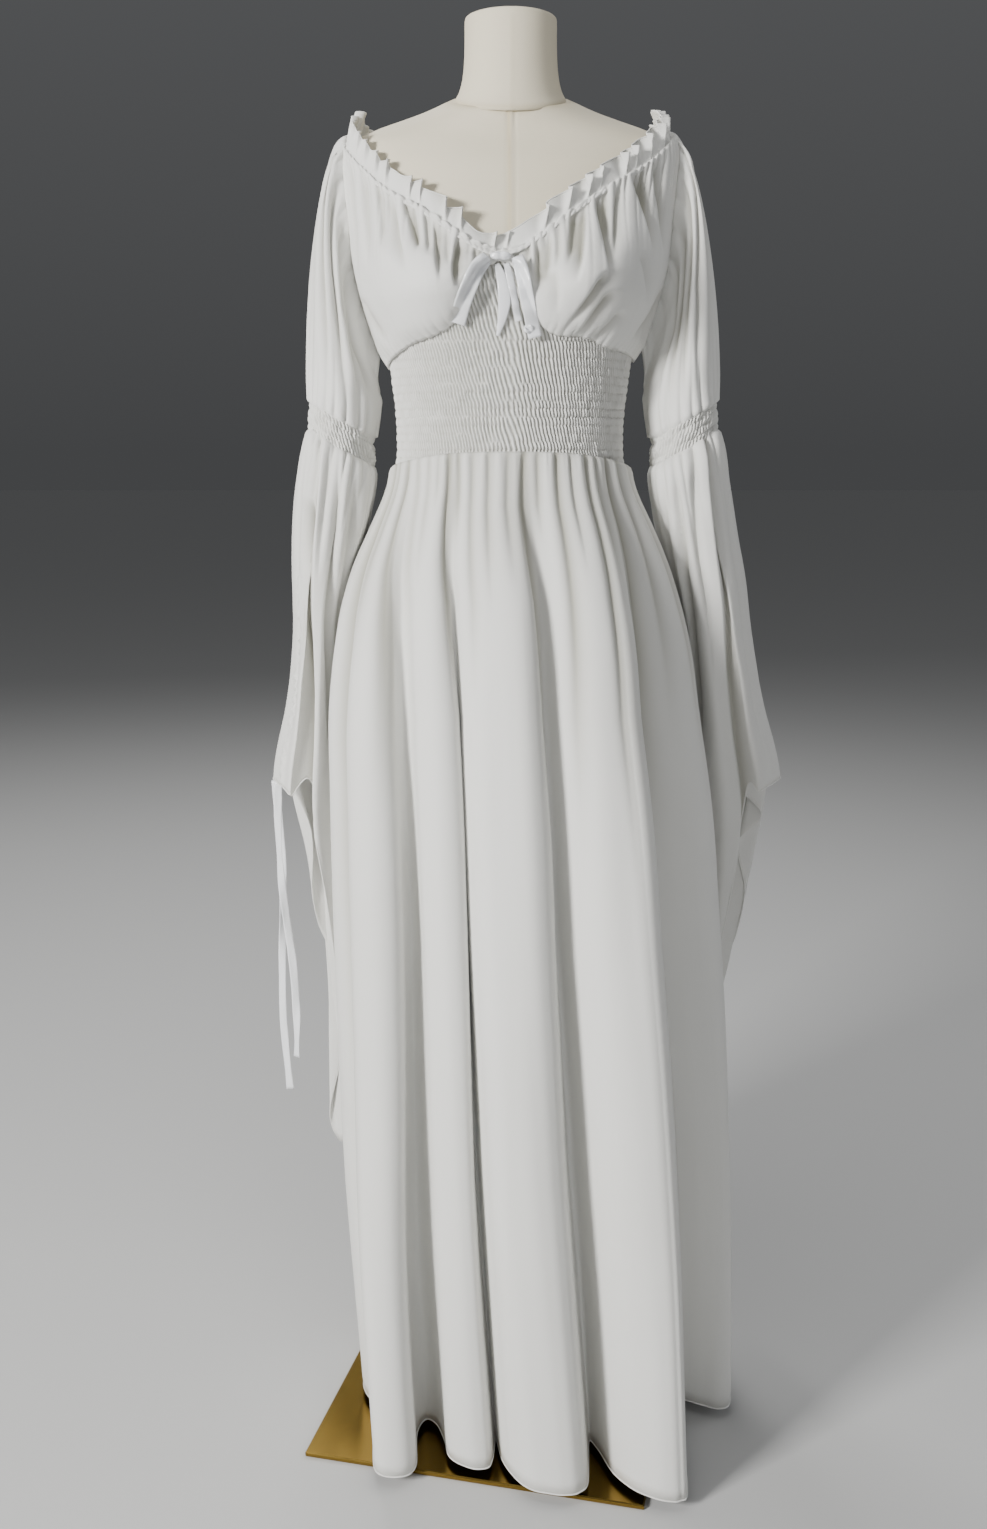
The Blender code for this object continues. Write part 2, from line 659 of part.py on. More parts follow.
def skirt_points(angle, rows):
    """Rings from the waist to the hem. The flutes grow with the drop and the gathers fade out."""
    hem = hem_curve(angle)
    low = SKIRT["height"][0]
    hem_angle = np.degrees(np.unwrap(np.arctan2(hem[:, 0], -hem[:, 1])))
    hem_angle = hem_angle + 360 * np.round((angle - hem_angle).mean() / 360)
    hem_angle = 0.5 * hem_angle + 0.5 * angle
    reach = [SKIRT[name][0] for name in ("left", "right", "front", "back")]
    base_x, base_y = oval(hem_angle, *reach)
    flute = hem - np.stack([base_x, base_y], -1)
    top = seam_height(WAIST_SEAM, angle) - SEAM
    wave = np.where(np.round((angle + 360) * SKIRT_COLUMNS / 360).astype(int) % 2, 1.0, -1.0)
    rings = []
    for share in rows:
        height = top + share * (HEM - top)
        turned = angle + (hem_angle - angle) * share
        names = ("left", "right", "front", "back")
        x, y = oval(turned, *(along(SKIRT, "height", name, height) for name in names))
        grown = share**0.85
        gather = SKIRT_GATHER * wave * np.interp(share, [0, 0.03, 0.10, 0.24], [0.7, 1.0, 0.6, 0.0])
        out = np.radians(turned)
        x = x + flute[:, 0] * grown + gather * np.sin(out)
        y = y + flute[:, 1] * grown - gather * np.cos(out)
        rings.append(np.stack([x, y, height], -1))
    return np.stack(rings)


def make_skirt():
    """The front and back panels, parted at the side seams."""
    rows = [0.0, 0.03, 0.09, 0.17, 0.28, 0.44, 0.62, 0.81, 1.0]
    half = SKIRT_COLUMNS // 2
    gap = np.degrees(SEAM / 0.15)
    for name, start in (("skirt_front", -90.0), ("skirt_back", 90.0)):
        angle = start + np.arange(half + 1) * 180 / half
        angle[0] += gap / 2
        angle[-1] -= gap / 2
        cloth(name, skirt_points(angle, rows), white_cloth)


def on_front(x, height, out):
    """The point in front of the bodice or the midriff at a place across and a height."""
    angles = np.linspace(-60, 60, 241)
    above = height >= seam_height(UNDERBUST_SEAM, angles)
    stand = np.where(above, blouse(angles, np.full_like(angles, height)), SMOCKED_CLOTH + FORM_CLEARANCE)
    points = body_point(angles, np.full_like(angles, height), stand + out)
    return np.array([x, np.interp(x, points[:, 0], points[:, 1]), height])


def smooth_route(route, count):
    """More points on a smooth curve through a few."""
    route = np.asarray(route, float)
    table = {"at": np.arange(len(route), dtype=float)}
    table.update({str(k): route[:, k] for k in range(route.shape[1])})
    at = np.linspace(0, len(route) - 1, count)
    return np.stack([along(table, "at", str(k), at) for k in range(route.shape[1])], -1)


def make_bow():
    """The knot at the middle of the neckline, with its loops and tails lying on the cloth below it."""
    x, z = BOW_KNOT["x"], BOW_KNOT["height"]
    behind = [on_front(x + dx, z + dz, 0.0)[1] for dx in (-0.01, 0.0, 0.01) for dz in (-0.004, 0.0, 0.004)]
    bpy.ops.mesh.primitive_uv_sphere_add(segments=14, ring_count=8, radius=0.5)
    knot = bpy.context.object
    knot.name = "bow_knot"
    knot.scale = (BOW_KNOT["width"], BOW_KNOT["depth"], BOW_KNOT["tall"])
    knot.location = (x, min(behind) - BOW_KNOT["depth"] / 2 - SEAM, z)
    bpy.ops.object.transform_apply(location=False, rotation=False, scale=True)
    knot.data.shade_smooth()
    place(knot, satin)
    for name, part in BOW_RIBBONS.items():
        flat = smooth_route(part["route"], 9)
        taper = np.ones(len(flat))
        if name == "bow_tail_middle":
            taper = np.array([0.45, 0.70, 0.92, 1.0, 1.0, 0.92, 0.75, 0.55, 0.30])
        ahead = np.gradient(flat, axis=0)
        ahead = ahead / np.linalg.norm(ahead, axis=1, keepdims=True)
        half = np.stack([-ahead[:, 1], ahead[:, 0]], -1) * (part["width"] * taper / 2)[:, None]
        edges = [flat + share * half for share in (1.0, 0.0, -1.0)]
        points = [[on_front(x, height, part["out"] + RIBBON) for x, height in edge] for edge in edges]
        cloth(name, np.array(points).transpose(1, 0, 2), satin, thickness=RIBBON)


def make_sleeve_ribbons():
    """The drawstring's two free ends, hanging from the corner of the left sleeve's hem."""
    hem = lower_sleeve_points("left", [1.0])[0]
    turns = np.arange(len(hem)) * 360 / len(hem)
    half = np.array([SLEEVE_RIBBON_WIDTH / 2, 0.0, 0.0])
    for name, part in SLEEVE_RIBBONS.items():
        start = np.array([np.interp(part["turn"], turns, hem[:, k]) for k in range(3)]) - [0, 0, 3 * SEAM]
        t = np.linspace(0, 1, 11)
        x = start[0] + part["drift"][0] * t + part["sway"] * np.sin(2 * np.pi * t)
        y = start[1] + part["drift"][1] * t
        route = np.stack([x, y, start[2] - part["length"] * t], -1)
        cloth(name, np.stack([route - half, route, route + half], axis=1), satin, thickness=RIBBON)


for old in list(bpy.data.objects):
    bpy.data.objects.remove(old, do_unlink=True)
collection = bpy.data.collections.new("maxi_dress_on_form")
bpy.context.scene.collection.children.link(collection)
white_cloth = new_material("white_cloth", (0.80, 0.80, 0.77), 0.85)
linen = new_material("cream_linen", (0.62, 0.58, 0.47), 0.90)
brass = new_material("polished_brass", (0.45, 0.31, 0.10), 0.25, 1.0)
satin = new_material("white_satin", (0.84, 0.85, 0.86), 0.30)

make_stand()
make_form()
make_midriff()
make_bodice()
make_ruffle()
for sleeve in ("left", "right"):
    make_upper_sleeve(sleeve)
    make_elbow_band(sleeve)
    make_lower_sleeve(sleeve)
make_skirt()
make_bow()
make_sleeve_ribbons()
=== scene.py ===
"""White off-shoulder maxi dress on a cream linen dress form with a square brass plate.

Metres, +Z up, the front faces -Y. Angles round the body start at the front and grow towards +X.
Every cloth is a grid of points: rows run down the cloth and columns run round the body.
"""
import math

import bpy
import numpy as np
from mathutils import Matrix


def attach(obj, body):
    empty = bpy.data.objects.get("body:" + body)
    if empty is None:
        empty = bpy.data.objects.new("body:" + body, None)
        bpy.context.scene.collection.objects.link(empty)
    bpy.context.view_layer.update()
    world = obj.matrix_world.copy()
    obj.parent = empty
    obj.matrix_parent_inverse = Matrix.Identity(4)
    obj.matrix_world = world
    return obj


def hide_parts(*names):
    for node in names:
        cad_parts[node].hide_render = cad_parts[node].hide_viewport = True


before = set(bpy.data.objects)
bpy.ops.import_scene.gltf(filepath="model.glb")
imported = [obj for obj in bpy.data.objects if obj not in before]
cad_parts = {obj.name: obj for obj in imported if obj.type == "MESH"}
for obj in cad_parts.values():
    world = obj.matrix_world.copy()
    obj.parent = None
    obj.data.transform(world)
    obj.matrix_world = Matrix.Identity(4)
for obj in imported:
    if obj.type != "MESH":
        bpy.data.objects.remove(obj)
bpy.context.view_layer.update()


# Sizes and tables of the dress and the form

def columns(names, rows):
    """A table as one array for each named column."""
    return dict(zip(names.split(), np.array(rows, float).T))


CLOTH = 0.0009            # thickness of the crepe
SATIN = 0.0006            # thickness of the ribbons
SEAM = 0.0003             # gap between pieces that are sewn together
RUFFLE_SEAM = 0.0008      # gap between the panels and the neckline that the ruffle covers
BAND_SEAM = 0.0006        # gap between an upper sleeve and its elbow band
FORM_CLEARANCE = 0.0017   # from the form to the smocked cloth
SMOCKED_CLOTH = 0.0028    # thickness of the smocked cloth
HEM = 0.015               # height of the skirt's hem above the floor
FORM_BUST = 0.010         # how far the bust stands out on the form, and under the cloth
CLOTH_BUST = 0.016
ROUNDNESS = 0.90          # power of the egg-shaped rings: less is squarer
FRONT_MIDDLE = -3.75      # angle at which the two front panels meet
RAGLAN_TURN = 14.0        # degrees that a raglan seam turns away from the side seam
RUFFLE_HEIGHT = 0.0215    # from the neckline up to the ruffle's tip
BAND_HEIGHT = 0.026       # of an elbow band
NECK_SEAM = 1.444         # height at which the neck block meets the torso
SMOCKED_FROM = 1.084      # heights between which the midriff's elastic rows are spread
SMOCKED_TO = 1.212
SMOCKED_RELIEF = 0.0034   # height of the puckers
MIRROR = {"left": -1.0, "right": 1.0}
BUST = dict(apart=0.070, height=1.262, wide=0.042, tall=0.045)

# The form: half its width, and its reach to the front and to the back, by height
FORM = columns("height half_width front back", [
    (0.84, 0.15, 0.103, 0.113), (0.855, 0.159, 0.109, 0.12), (0.9, 0.163, 0.112, 0.125),
    (0.94, 0.161, 0.11, 0.123), (0.99, 0.147, 0.103, 0.112), (1.04, 0.128, 0.093, 0.098),
    (1.09, 0.1145, 0.086, 0.088), (1.13, 0.114, 0.088, 0.089), (1.17, 0.118, 0.094, 0.093),
    (1.21, 0.1245, 0.101, 0.099), (1.25, 0.134, 0.107, 0.104), (1.29, 0.143, 0.103, 0.107),
    (1.33, 0.15, 0.092, 0.106), (1.365, 0.157, 0.08, 0.099), (1.385, 0.161, 0.072, 0.09),
    (1.398, 0.16, 0.065, 0.081), (1.408, 0.153, 0.06, 0.072), (1.4165, 0.134, 0.057, 0.066),
    (1.4245, 0.11, 0.0555, 0.063), (1.432, 0.088, 0.0545, 0.061), (1.4437, 0.06, 0.051, 0.056),
])
# The neck block's radius by height, with a flat top and a small round at its rim
NECK = columns("height radius", [
    (1.444, 0.056), (1.45, 0.0524), (1.458, 0.0496), (1.468, 0.0477), (1.48, 0.0466), (1.5, 0.046),
    (1.514, 0.0459), (1.5175, 0.0456), (1.519, 0.0446), (1.5196, 0.043),
])
# How much the neck seam drops in front and rises at the back for each metre of depth, by height
NECK_TILT = columns("height front back", [
    (1.34, 0.0, 0.0), (1.4, 0.16, 0.0), (1.43, 0.3, 0.16), (1.444, 0.32, 0.32), (1.47, 0.18, 0.18),
    (1.51, 0.0, 0.0),
])
# Seams and neckline: height by angle round the body
WAIST_SEAM = columns("angle height", [
    (-180, 1.084), (-90, 1.082), (-65, 1.088), (-35, 1.096), (0, 1.099), (35, 1.096), (65, 1.088),
    (90, 1.082), (180, 1.084),
])
UNDERBUST_SEAM = columns("angle height", [
    (-180, 1.186), (-90, 1.182), (-65, 1.193), (-45, 1.205), (-30, 1.213), (-24, 1.219), (-18, 1.235),
    (-12, 1.259), (-8, 1.273), (-5, 1.277), (-1, 1.276), (2, 1.267), (5, 1.246), (8, 1.228),
    (12, 1.217), (28, 1.209), (45, 1.2), (65, 1.195), (90, 1.19), (180, 1.186),
])
NECKLINE = columns("angle height", [
    (-180, 1.378), (-135, 1.388), (-113, 1.4), (-90, 1.409), (-67, 1.386), (-46, 1.35), (-28, 1.324),
    (-17, 1.303), (-9, 1.29), (-4, 1.286), (2, 1.29), (8, 1.301), (17, 1.32), (28, 1.342), (46, 1.369),
    (67, 1.399), (90, 1.411), (113, 1.402), (135, 1.388), (180, 1.378),
])
# How the bodice hangs over the midriff: its depth by angle, and the share of that depth by its rise
BLOUSE = columns("rise share", [
    (0.0, 0.0), (0.08, 0.55), (0.22, 0.92), (0.4, 1.0), (0.65, 0.72), (0.85, 0.42), (1.0, 0.22),
])
BLOUSE_DEPTH = columns("angle depth", [
    (0, 0.006), (14, 0.016), (30, 0.024), (60, 0.019), (90, 0.014), (130, 0.01), (180, 0.009),
])
# The skirt's reach to its four sides, by height
SKIRT = columns("height left right front back", [
    (0.015, 0.172, 0.252, 0.15, 0.192), (0.28, 0.186, 0.248, 0.158, 0.188),
    (0.48, 0.187, 0.234, 0.16, 0.18), (0.61, 0.1875, 0.22, 0.157, 0.17),
    (0.74, 0.187, 0.207, 0.152, 0.16), (0.83, 0.186, 0.194, 0.147, 0.152),
    (0.9, 0.178, 0.184, 0.142, 0.145), (0.94, 0.173, 0.176, 0.137, 0.139),
    (0.985, 0.162, 0.164, 0.128, 0.13), (1.02, 0.148, 0.151, 0.118, 0.12),
    (1.06, 0.131, 0.133, 0.105, 0.106), (1.1, 0.1195, 0.1205, 0.092, 0.094),
])

# The valleys between the flutes: place at the hem of the valley and of the crest before it, how sharp
# the valley is, and the valley's angle at seven heights from the waist to the hem
FLUTES = columns("valley_x valley_y crest_x crest_y sharp", [
    (-0.15, -0.078, -0.1715, -0.028, 0.4), (-0.089, -0.1, -0.1265, -0.194, 0.1),
    (-0.0133, -0.1275, -0.046, -0.1838, 0.7), (0.0908, -0.136, 0.0353, -0.2228, 0.7),
    (0.198, -0.062, 0.172, -0.237, 0.7), (0.222, 0.004, 0.2532, -0.076, 0.4),
    (0.172, 0.094, 0.232, 0.07, 0.5), (0.102, 0.132, 0.166, 0.196, 0.5),
    (0.018, 0.148, 0.06, 0.216, 0.6), (-0.072, 0.136, -0.036, 0.212, 0.5),
    (-0.126, 0.092, -0.122, 0.184, 0.5), (-0.15, 0.008, -0.164, 0.06, 0.4),
])
VALLEY_HEIGHTS = np.array([1.10, 1.03, 0.94, 0.83, 0.60, 0.35, 0.015])
VALLEY_ANGLES = np.array([
    (-72.0, -71.5, -71.0, -70.0, -69.0, -68.0, -67.0),
    (-52.0, -47.0, -40.0, -36.5, -36.0, -38.0, -41.7), (-25.5, -22.5, -17.5, -14.5, -12.4, -9.4, -4.0),
    (8.0, 6.5, 8.2, 8.4, 10.2, 13.2, 18.8), (48.0, 45.5, 42.3, 41.0, 43.0, 46.0, 50.0),
    (90.0, 90.0, 90.0, 90.0, 90.0, 90.0, 90.0), (112.0, 112.0, 112.5, 113.0, 114.0, 115.0, 115.3),
    (140.0, 140.0, 140.2, 140.5, 140.7, 141.0, 141.0),
    (168.0, 168.0, 168.5, 169.0, 169.5, 170.0, 170.5),
    (198.0, 198.5, 199.0, 200.0, 201.0, 202.0, 203.0),
    (232.0, 232.0, 232.0, 232.5, 232.5, 233.0, 233.0),
    (270.0, 270.0, 270.0, 269.5, 269.0, 269.0, 268.5),
])

# The front of the hem seen from above, fold by fold: the whole part of the place is the fold's number
HEM_FRONT = columns("place x y", [
    (1.0, -0.15, -0.078), (1.08, -0.152, -0.115), (1.2, -0.1495, -0.164), (1.32, -0.1449, -0.1854),
    (1.5, -0.1247, -0.1949), (1.66, -0.1068, -0.188), (1.76, -0.1018, -0.172), (1.86, -0.104, -0.127),
    (2.0, -0.0945, -0.0979), (2.12, -0.0816, -0.1067), (2.24, -0.0716, -0.135), (2.38, -0.0655, -0.161),
    (2.54, -0.0472, -0.1773), (2.68, -0.0319, -0.1822), (2.78, -0.0212, -0.178),
    (2.86, -0.0178, -0.164), (3.0, -0.0144, -0.132), (3.12, -0.0068, -0.1692), (3.24, 0.0071, -0.198),
    (3.36, 0.0218, -0.2136), (3.5, 0.042, -0.2205), (3.64, 0.0598, -0.2228), (3.76, 0.0745, -0.2185),
    (3.84, 0.0838, -0.206), (3.91, 0.0868, -0.172), (4.0, 0.0897, -0.136), (4.1, 0.0988, -0.1495),
    (4.22, 0.1116, -0.1854), (4.34, 0.129, -0.211), (4.48, 0.1497, -0.2258), (4.62, 0.1681, -0.2319),
    (4.74, 0.1805, -0.231), (4.82, 0.1885, -0.222), (4.89, 0.1925, -0.175), (4.95, 0.195, -0.115),
    (5.0, 0.198, -0.062), (5.05, 0.201, -0.061), (5.2, 0.2241, -0.072), (5.36, 0.2439, -0.079),
    (5.5, 0.256, -0.072), (5.62, 0.26, -0.052), (5.8, 0.248, -0.018), (6.0, 0.222, 0.004),
])

# Valleys between the gathers at the waist: angle, depth, width in degrees and how far down they reach
SKIRT_CREASES = [
    (-86.0, 0.004, 3.0, 0.34), (-78.5, 0.0034, 2.6, 0.18), (-72.0, 0.0062, 3.4, 1.1),
    (-65.4, 0.004, 2.6, 0.2), (-57.3, 0.006, 2.4, 0.4), (-48.9, 0.004, 2.8, 0.22),
    (-41.0, 0.0036, 2.6, 0.14), (-35.0, 0.003, 2.0, 0.06), (-29.3, 0.0066, 2.8, 0.3),
    (-23.9, 0.0044, 2.2, 0.1), (-16.4, 0.0048, 2.6, 0.26), (-8.7, 0.0048, 2.6, 0.16),
    (-0.9, 0.0046, 2.4, 0.14), (5.0, 0.0064, 2.8, 0.4), (11.3, 0.0046, 2.0, 0.09),
    (20.1, 0.0064, 2.8, 0.42), (27.3, 0.0044, 2.2, 0.12), (35.9, 0.0062, 2.8, 0.46),
    (42.5, 0.0046, 2.4, 0.16), (50.1, 0.0062, 2.8, 0.5), (59.9, 0.005, 3.0, 0.3),
    (72.0, 0.0046, 3.2, 0.4), (83.0, 0.0044, 3.0, 0.3), (95.0, 0.0046, 3.0, 0.34),
    (104.0, 0.004, 2.8, 0.16), (112.0, 0.0064, 3.2, 1.05), (121.0, 0.0044, 2.6, 0.18),
    (130.0, 0.0052, 2.8, 0.36), (140.0, 0.0066, 3.0, 1.05), (148.5, 0.0042, 2.4, 0.14),
    (157.0, 0.0054, 2.8, 0.42), (168.0, 0.0066, 3.0, 1.1), (176.5, 0.0044, 2.4, 0.16),
    (186.0, 0.0054, 2.8, 0.38), (198.0, 0.0066, 3.0, 1.1), (207.5, 0.0044, 2.6, 0.18),
    (218.0, 0.0052, 2.8, 0.36), (232.0, 0.0064, 3.2, 1.05), (242.0, 0.0042, 2.8, 0.16),
    (254.0, 0.0046, 3.0, 0.4), (264.0, 0.004, 2.8, 0.2),
]

# Elbow bands: reach to the outer and the inner side, half the depth, and the heights of the top edge
ELBOW = {
    "left": dict(outer=0.2085, inner=0.1460, depth=0.046, middle=0.004, top_outer=1.148, top_inner=1.111),
    "right": dict(outer=0.2150, inner=0.1520, depth=0.046, middle=0.004, top_outer=1.148, top_inner=1.111),
}
# Bell sleeves: reach to the outer and the inner side, the front and the back, by drop below the band
LOWER_SLEEVE = {
    "left": columns("drop outer inner front back", [
        (0.0, 0.2085, 0.146, -0.042, 0.05), (0.01, 0.212, 0.145, -0.05, 0.058),
        (0.055, 0.224, 0.15, -0.054, 0.072), (0.11, 0.232, 0.166, -0.046, 0.088),
        (0.16, 0.2345, 0.18, -0.036, 0.1), (0.22, 0.236, 0.188, -0.028, 0.112),
        (0.3, 0.245, 0.193, -0.018, 0.124), (0.39, 0.264, 0.1945, -0.006, 0.136),
        (0.52, 0.244, 0.19, 0.018, 0.148), (0.66, 0.234, 0.185, 0.04, 0.16),
        (0.87, 0.239, 0.183, 0.06, 0.168),
    ]),
    "right": columns("drop outer inner front back", [
        (0.0, 0.215, 0.152, -0.042, 0.05), (0.01, 0.219, 0.151, -0.05, 0.058),
        (0.055, 0.23, 0.156, -0.054, 0.072), (0.11, 0.243, 0.17, -0.046, 0.088),
        (0.16, 0.255, 0.184, -0.038, 0.1), (0.22, 0.265, 0.195, -0.03, 0.112),
        (0.3, 0.281, 0.206, -0.02, 0.126), (0.39, 0.306, 0.215, -0.006, 0.14),
        (0.52, 0.292, 0.222, 0.026, 0.164), (0.66, 0.266, 0.216, 0.056, 0.184),
        (0.85, 0.25, 0.203, 0.088, 0.2),
    ]),
}
# Where the hem cuts each bell sleeve off: drop by the angle round the sleeve, 0 at the inner side
SLEEVE_HEM = {
    "left": columns("angle drop", [
        (0, 0.72), (35, 0.665), (58, 0.57), (66, 0.45), (76, 0.38), (105, 0.382), (130, 0.383),
        (155, 0.386), (180, 0.388), (202, 0.396), (213, 0.46), (222, 0.54), (230, 0.587), (240, 0.636),
        (252, 0.72), (270, 0.83), (290, 0.868), (325, 0.815), (360, 0.72),
    ]),
    "right": columns("angle drop", [
        (0, 0.72), (40, 0.68), (72, 0.59), (82, 0.48), (92, 0.384), (110, 0.379), (135, 0.381),
        (155, 0.384), (180, 0.388), (193, 0.394), (205, 0.412), (214, 0.449), (222, 0.482),
        (232, 0.549), (240, 0.597), (252, 0.684), (258, 0.72), (275, 0.805), (292, 0.85), (325, 0.805),
        (360, 0.72),
    ]),
}

# How far the back of each bell sleeve swings out, so that its long hem hangs in waves
SLEEVE_WAVES = {
    "left": columns("angle out", [
        (0, 0.0), (185, 0.0), (195, 0.0), (202, 0.0), (213, -0.011), (222, 0.003), (230, 0.002),
        (240, -0.009), (252, -0.011), (270, 0.016), (290, 0.018), (315, 0.002), (330, 0.0), (360, 0.0),
    ]),
    "right": columns("angle out", [
        (0, 0.0), (175, 0.0), (185, 0.0), (193, -0.006), (205, -0.026), (214, 0.01), (222, -0.008),
        (232, 0.018), (240, 0.024), (252, 0.026), (262, 0.01), (280, 0.002), (295, 0.0), (360, 0.0),
    ]),
}

# Round folds of the bell sleeves: angle, width in degrees and depth
SLEEVE_FOLDS = [
    (20, 16, 0.006), (62, 16, 0.008), (112, 13, 0.009), (178, 15, 0.008), (238, 15, 0.010),
    (285, 14, 0.009), (325, 14, 0.008),
]

# How deep the drawstring casing is ruched
CASING_DEPTH = {"left": 1.0, "right": 0.35}

BOW_KNOT = dict(x=-0.0105, height=1.2800, width=0.020, tall=0.0085, depth=0.009)

# Each ribbon of the bow: its width and cut length, how far it stands out, how high it arches, how much
# it is cupped, its small ripples, how far its sides turn out of the cloth, its route by x and height, and
# its width along the route as shares
BOW_RIBBONS = {
    "bow_loop_left": dict(
        width=0.0155, cut=0.080, out=0.0030, lift=0.0050, cup=0.0010, ripple=0.0012, twist=0.0030,
        route=[(-0.0225, 1.2790), (-0.0315, 1.2690), (-0.0395, 1.2530), (-0.0470, 1.2350), (-0.0520, 1.2190)],
        taper=[0.75, 0.95, 1.0, 1.0, 1.0, 1.0]),
    "bow_tail_middle": dict(
        width=0.0120, cut=0.070, out=0.0012, lift=0.0020, cup=0.0008, ripple=0.0003, twist=0.0006,
        route=[(-0.0140, 1.2735), (-0.0090, 1.2590), (-0.0065, 1.2440), (-0.0080, 1.2280), (-0.0130, 1.2080)],
        taper=[0.40, 0.80, 1.0, 1.0, 0.70, 0.20]),
    "bow_loop_right": dict(
        width=0.0065, cut=0.070, out=0.0046, lift=0.0040, cup=0.0008, ripple=0.0008, twist=-0.0012,
        route=[(-0.0050, 1.2735), (-0.0015, 1.2600), (0.0020, 1.2450), (0.0045, 1.2320), (0.0070, 1.2210)],
        taper=[0.80, 1.0, 1.0, 1.0, 1.0, 1.0]),
    "bow_tail_right": dict(
        width=0.0130, cut=0.080, out=0.0056, lift=0.0030, cup=0.0010, ripple=0.0010, twist=-0.0026,
        route=[(0.0055, 1.2790), (0.0100, 1.2640), (0.0140, 1.2450), (0.0185, 1.2250), (0.0230, 1.2060)],
        taper=[0.80, 1.0, 1.0, 1.0, 1.0, 1.0]),
}
BOW_END_KNOT = dict(place=(0.0165, 1.2140), out=0.0080, size=0.0034, strand=0.0018)
SLEEVE_RIBBON_WIDTH = 0.009
SLEEVE_RIBBONS = {
    "sleeve_ribbon_left_long": dict(turn=168.0, length=0.372, drift=(0.0080, -0.0060), sway=0.004),
    "sleeve_ribbon_left_short": dict(turn=154.0, length=0.325, drift=(0.0120, -0.0040), sway=-0.004),
}


# Curves and small shapes of numbers

def cubic(t, start, leave, end, arrive):
    """A cubic curve from start to end, with the slope leave at its start and arrive at its end."""
    return ((2 * t**3 - 3 * t**2 + 1) * start + (t**3 - 2 * t**2 + t) * leave
            + (3 * t**2 - 2 * t**3) * end + (t**3 - t**2) * arrive)


def along(table, key, column, at):
    """A column's value on a smooth curve through the table's rows, at values of the key column."""
    x, y = table[key], table[column]
    slope = np.gradient(y, x)
    at = np.clip(np.asarray(at, float), x[0], x[-1])
    i = np.clip(np.searchsorted(x, at, side="right") - 1, 0, len(x) - 2)
    step = x[i + 1] - x[i]
    return cubic((at - x[i]) / step, y[i], step * slope[i], y[i + 1], step * slope[i + 1])


def ease(t):
    """0 below 0, 1 above 1 and a smooth rise between them."""
    t = np.clip(t, 0.0, 1.0)
    return t * t * (3 - 2 * t)


def bell(apart, width):
    """1 in the middle, and exp(-(distance / width) ** 2) away from it."""
    return np.exp(-((apart / width) ** 2))


def cusp(apart, width, lean, bend):
    """A sharp valley across its line, exp(-|distance / width| ** 1.3). A lean from -1 to 1 makes the
    flank on the side of its sign wider and the other steeper; bend is how soon the flank widens."""
    flank = width * (1 + lean * np.tanh(apart / bend))
    return np.exp(-np.abs(apart / flank) ** 1.3)


def tubes(phase):
    """Round gathers side by side, one to a unit, from 0 in the sharp valleys to 1 on the crests."""
    return np.abs(np.sin(np.pi * phase)) ** 0.6


def wander(seed, at, period=512):
    """A smooth random value from -1 to 1 that changes once in each unit and repeats after a period."""
    table = np.random.default_rng(seed).uniform(-1, 1, period)
    i = np.floor(at).astype(int)
    t = ease(at - i)
    return table[i % period] * (1 - t) + table[(i + 1) % period] * t


def uneven(seed, x, y, period=64):
    """A smooth random value from -1 to 1 over a surface, with cells one unit wide; it repeats along x."""
    table = np.random.default_rng(seed).uniform(-1, 1, (period, 128))
    i, j = np.floor(x).astype(int), np.floor(y).astype(int)
    s, t = ease(x - i), ease(y - j)
    low = table[i % period, j % 128] * (1 - s) + table[(i + 1) % period, j % 128] * s
    high = table[i % period, (j + 1) % 128] * (1 - s) + table[(i + 1) % period, (j + 1) % 128] * s
    return low * (1 - t) + high * t


def wrapped(degrees):
    """The same angle between -180 and 180."""
    return (np.asarray(degrees, float) + 180) % 360 - 180


def ring_turns(count):
    """The turns in radians of a ring's columns."""
    return np.arange(count) * 2 * np.pi / count


def doubled_top(values):
    """A grid with its first row twice, for the row that is tucked under the seam above."""
    return np.concatenate([values[:1], values])


def crease(across, down, line, depth, width, lean, wrap=None):
    """Depth of a valley along a line of (down, across) points: a cusp that fades at both ends."""
    line = np.array(line, float)
    apart = across - np.interp(down, line[:, 0], line[:, 1])
    if wrap:
        apart = (apart + wrap / 2) % wrap - wrap / 2
    t = (down - line[0, 0]) / (line[-1, 0] - line[0, 0])
    return depth * cusp(apart, width, lean, 0.25 * width) * (ease(t / 0.22) * ease((1 - t) / 0.45))


def grooves(across, down, folds, wrap=None):
    """The depths of several folds added up; each is its line, depth, width and lean."""
    return sum(crease(across, down, *fold, wrap) for fold in folds)


# Outlines of the form and of the dress above the waist

def seam_height(table, degrees):
    """The height of a seam at an angle round the body."""
    return along(table, "angle", "height", wrapped(degrees))


def oval(degrees, left, right, front, back):
    """x and y on an egg-shaped ring; its four reaches may all differ."""
    s, c = np.sin(np.radians(degrees)), np.cos(np.radians(degrees))
    x = np.where(s > 0, right, left) * np.sign(s) * np.abs(s) ** ROUNDNESS
    y = -np.where(c > 0, front, back) * np.sign(c) * np.abs(c) ** ROUNDNESS
    return x, y


def body_point(degrees, height, out=0.0, bust_depth=CLOTH_BUST):
    """A point of the body's outline at a distance outside the form: an egg-shaped ring, and in front
    two bells for the bust, which the cloth fills out more."""
    names = ("half_width", "front", "back")
    half, front, back = (along(FORM, "height", name, height) + out for name in names)
    x, y = oval(degrees, half, half, front, back)
    bust = bell(np.abs(x) - BUST["apart"], BUST["wide"]) * bell(height - BUST["height"], BUST["tall"])
    bust = bust_depth * bust
    return np.stack(np.broadcast_arrays(x, y - np.where(y < 0, bust, 0.0), height), axis=-1)


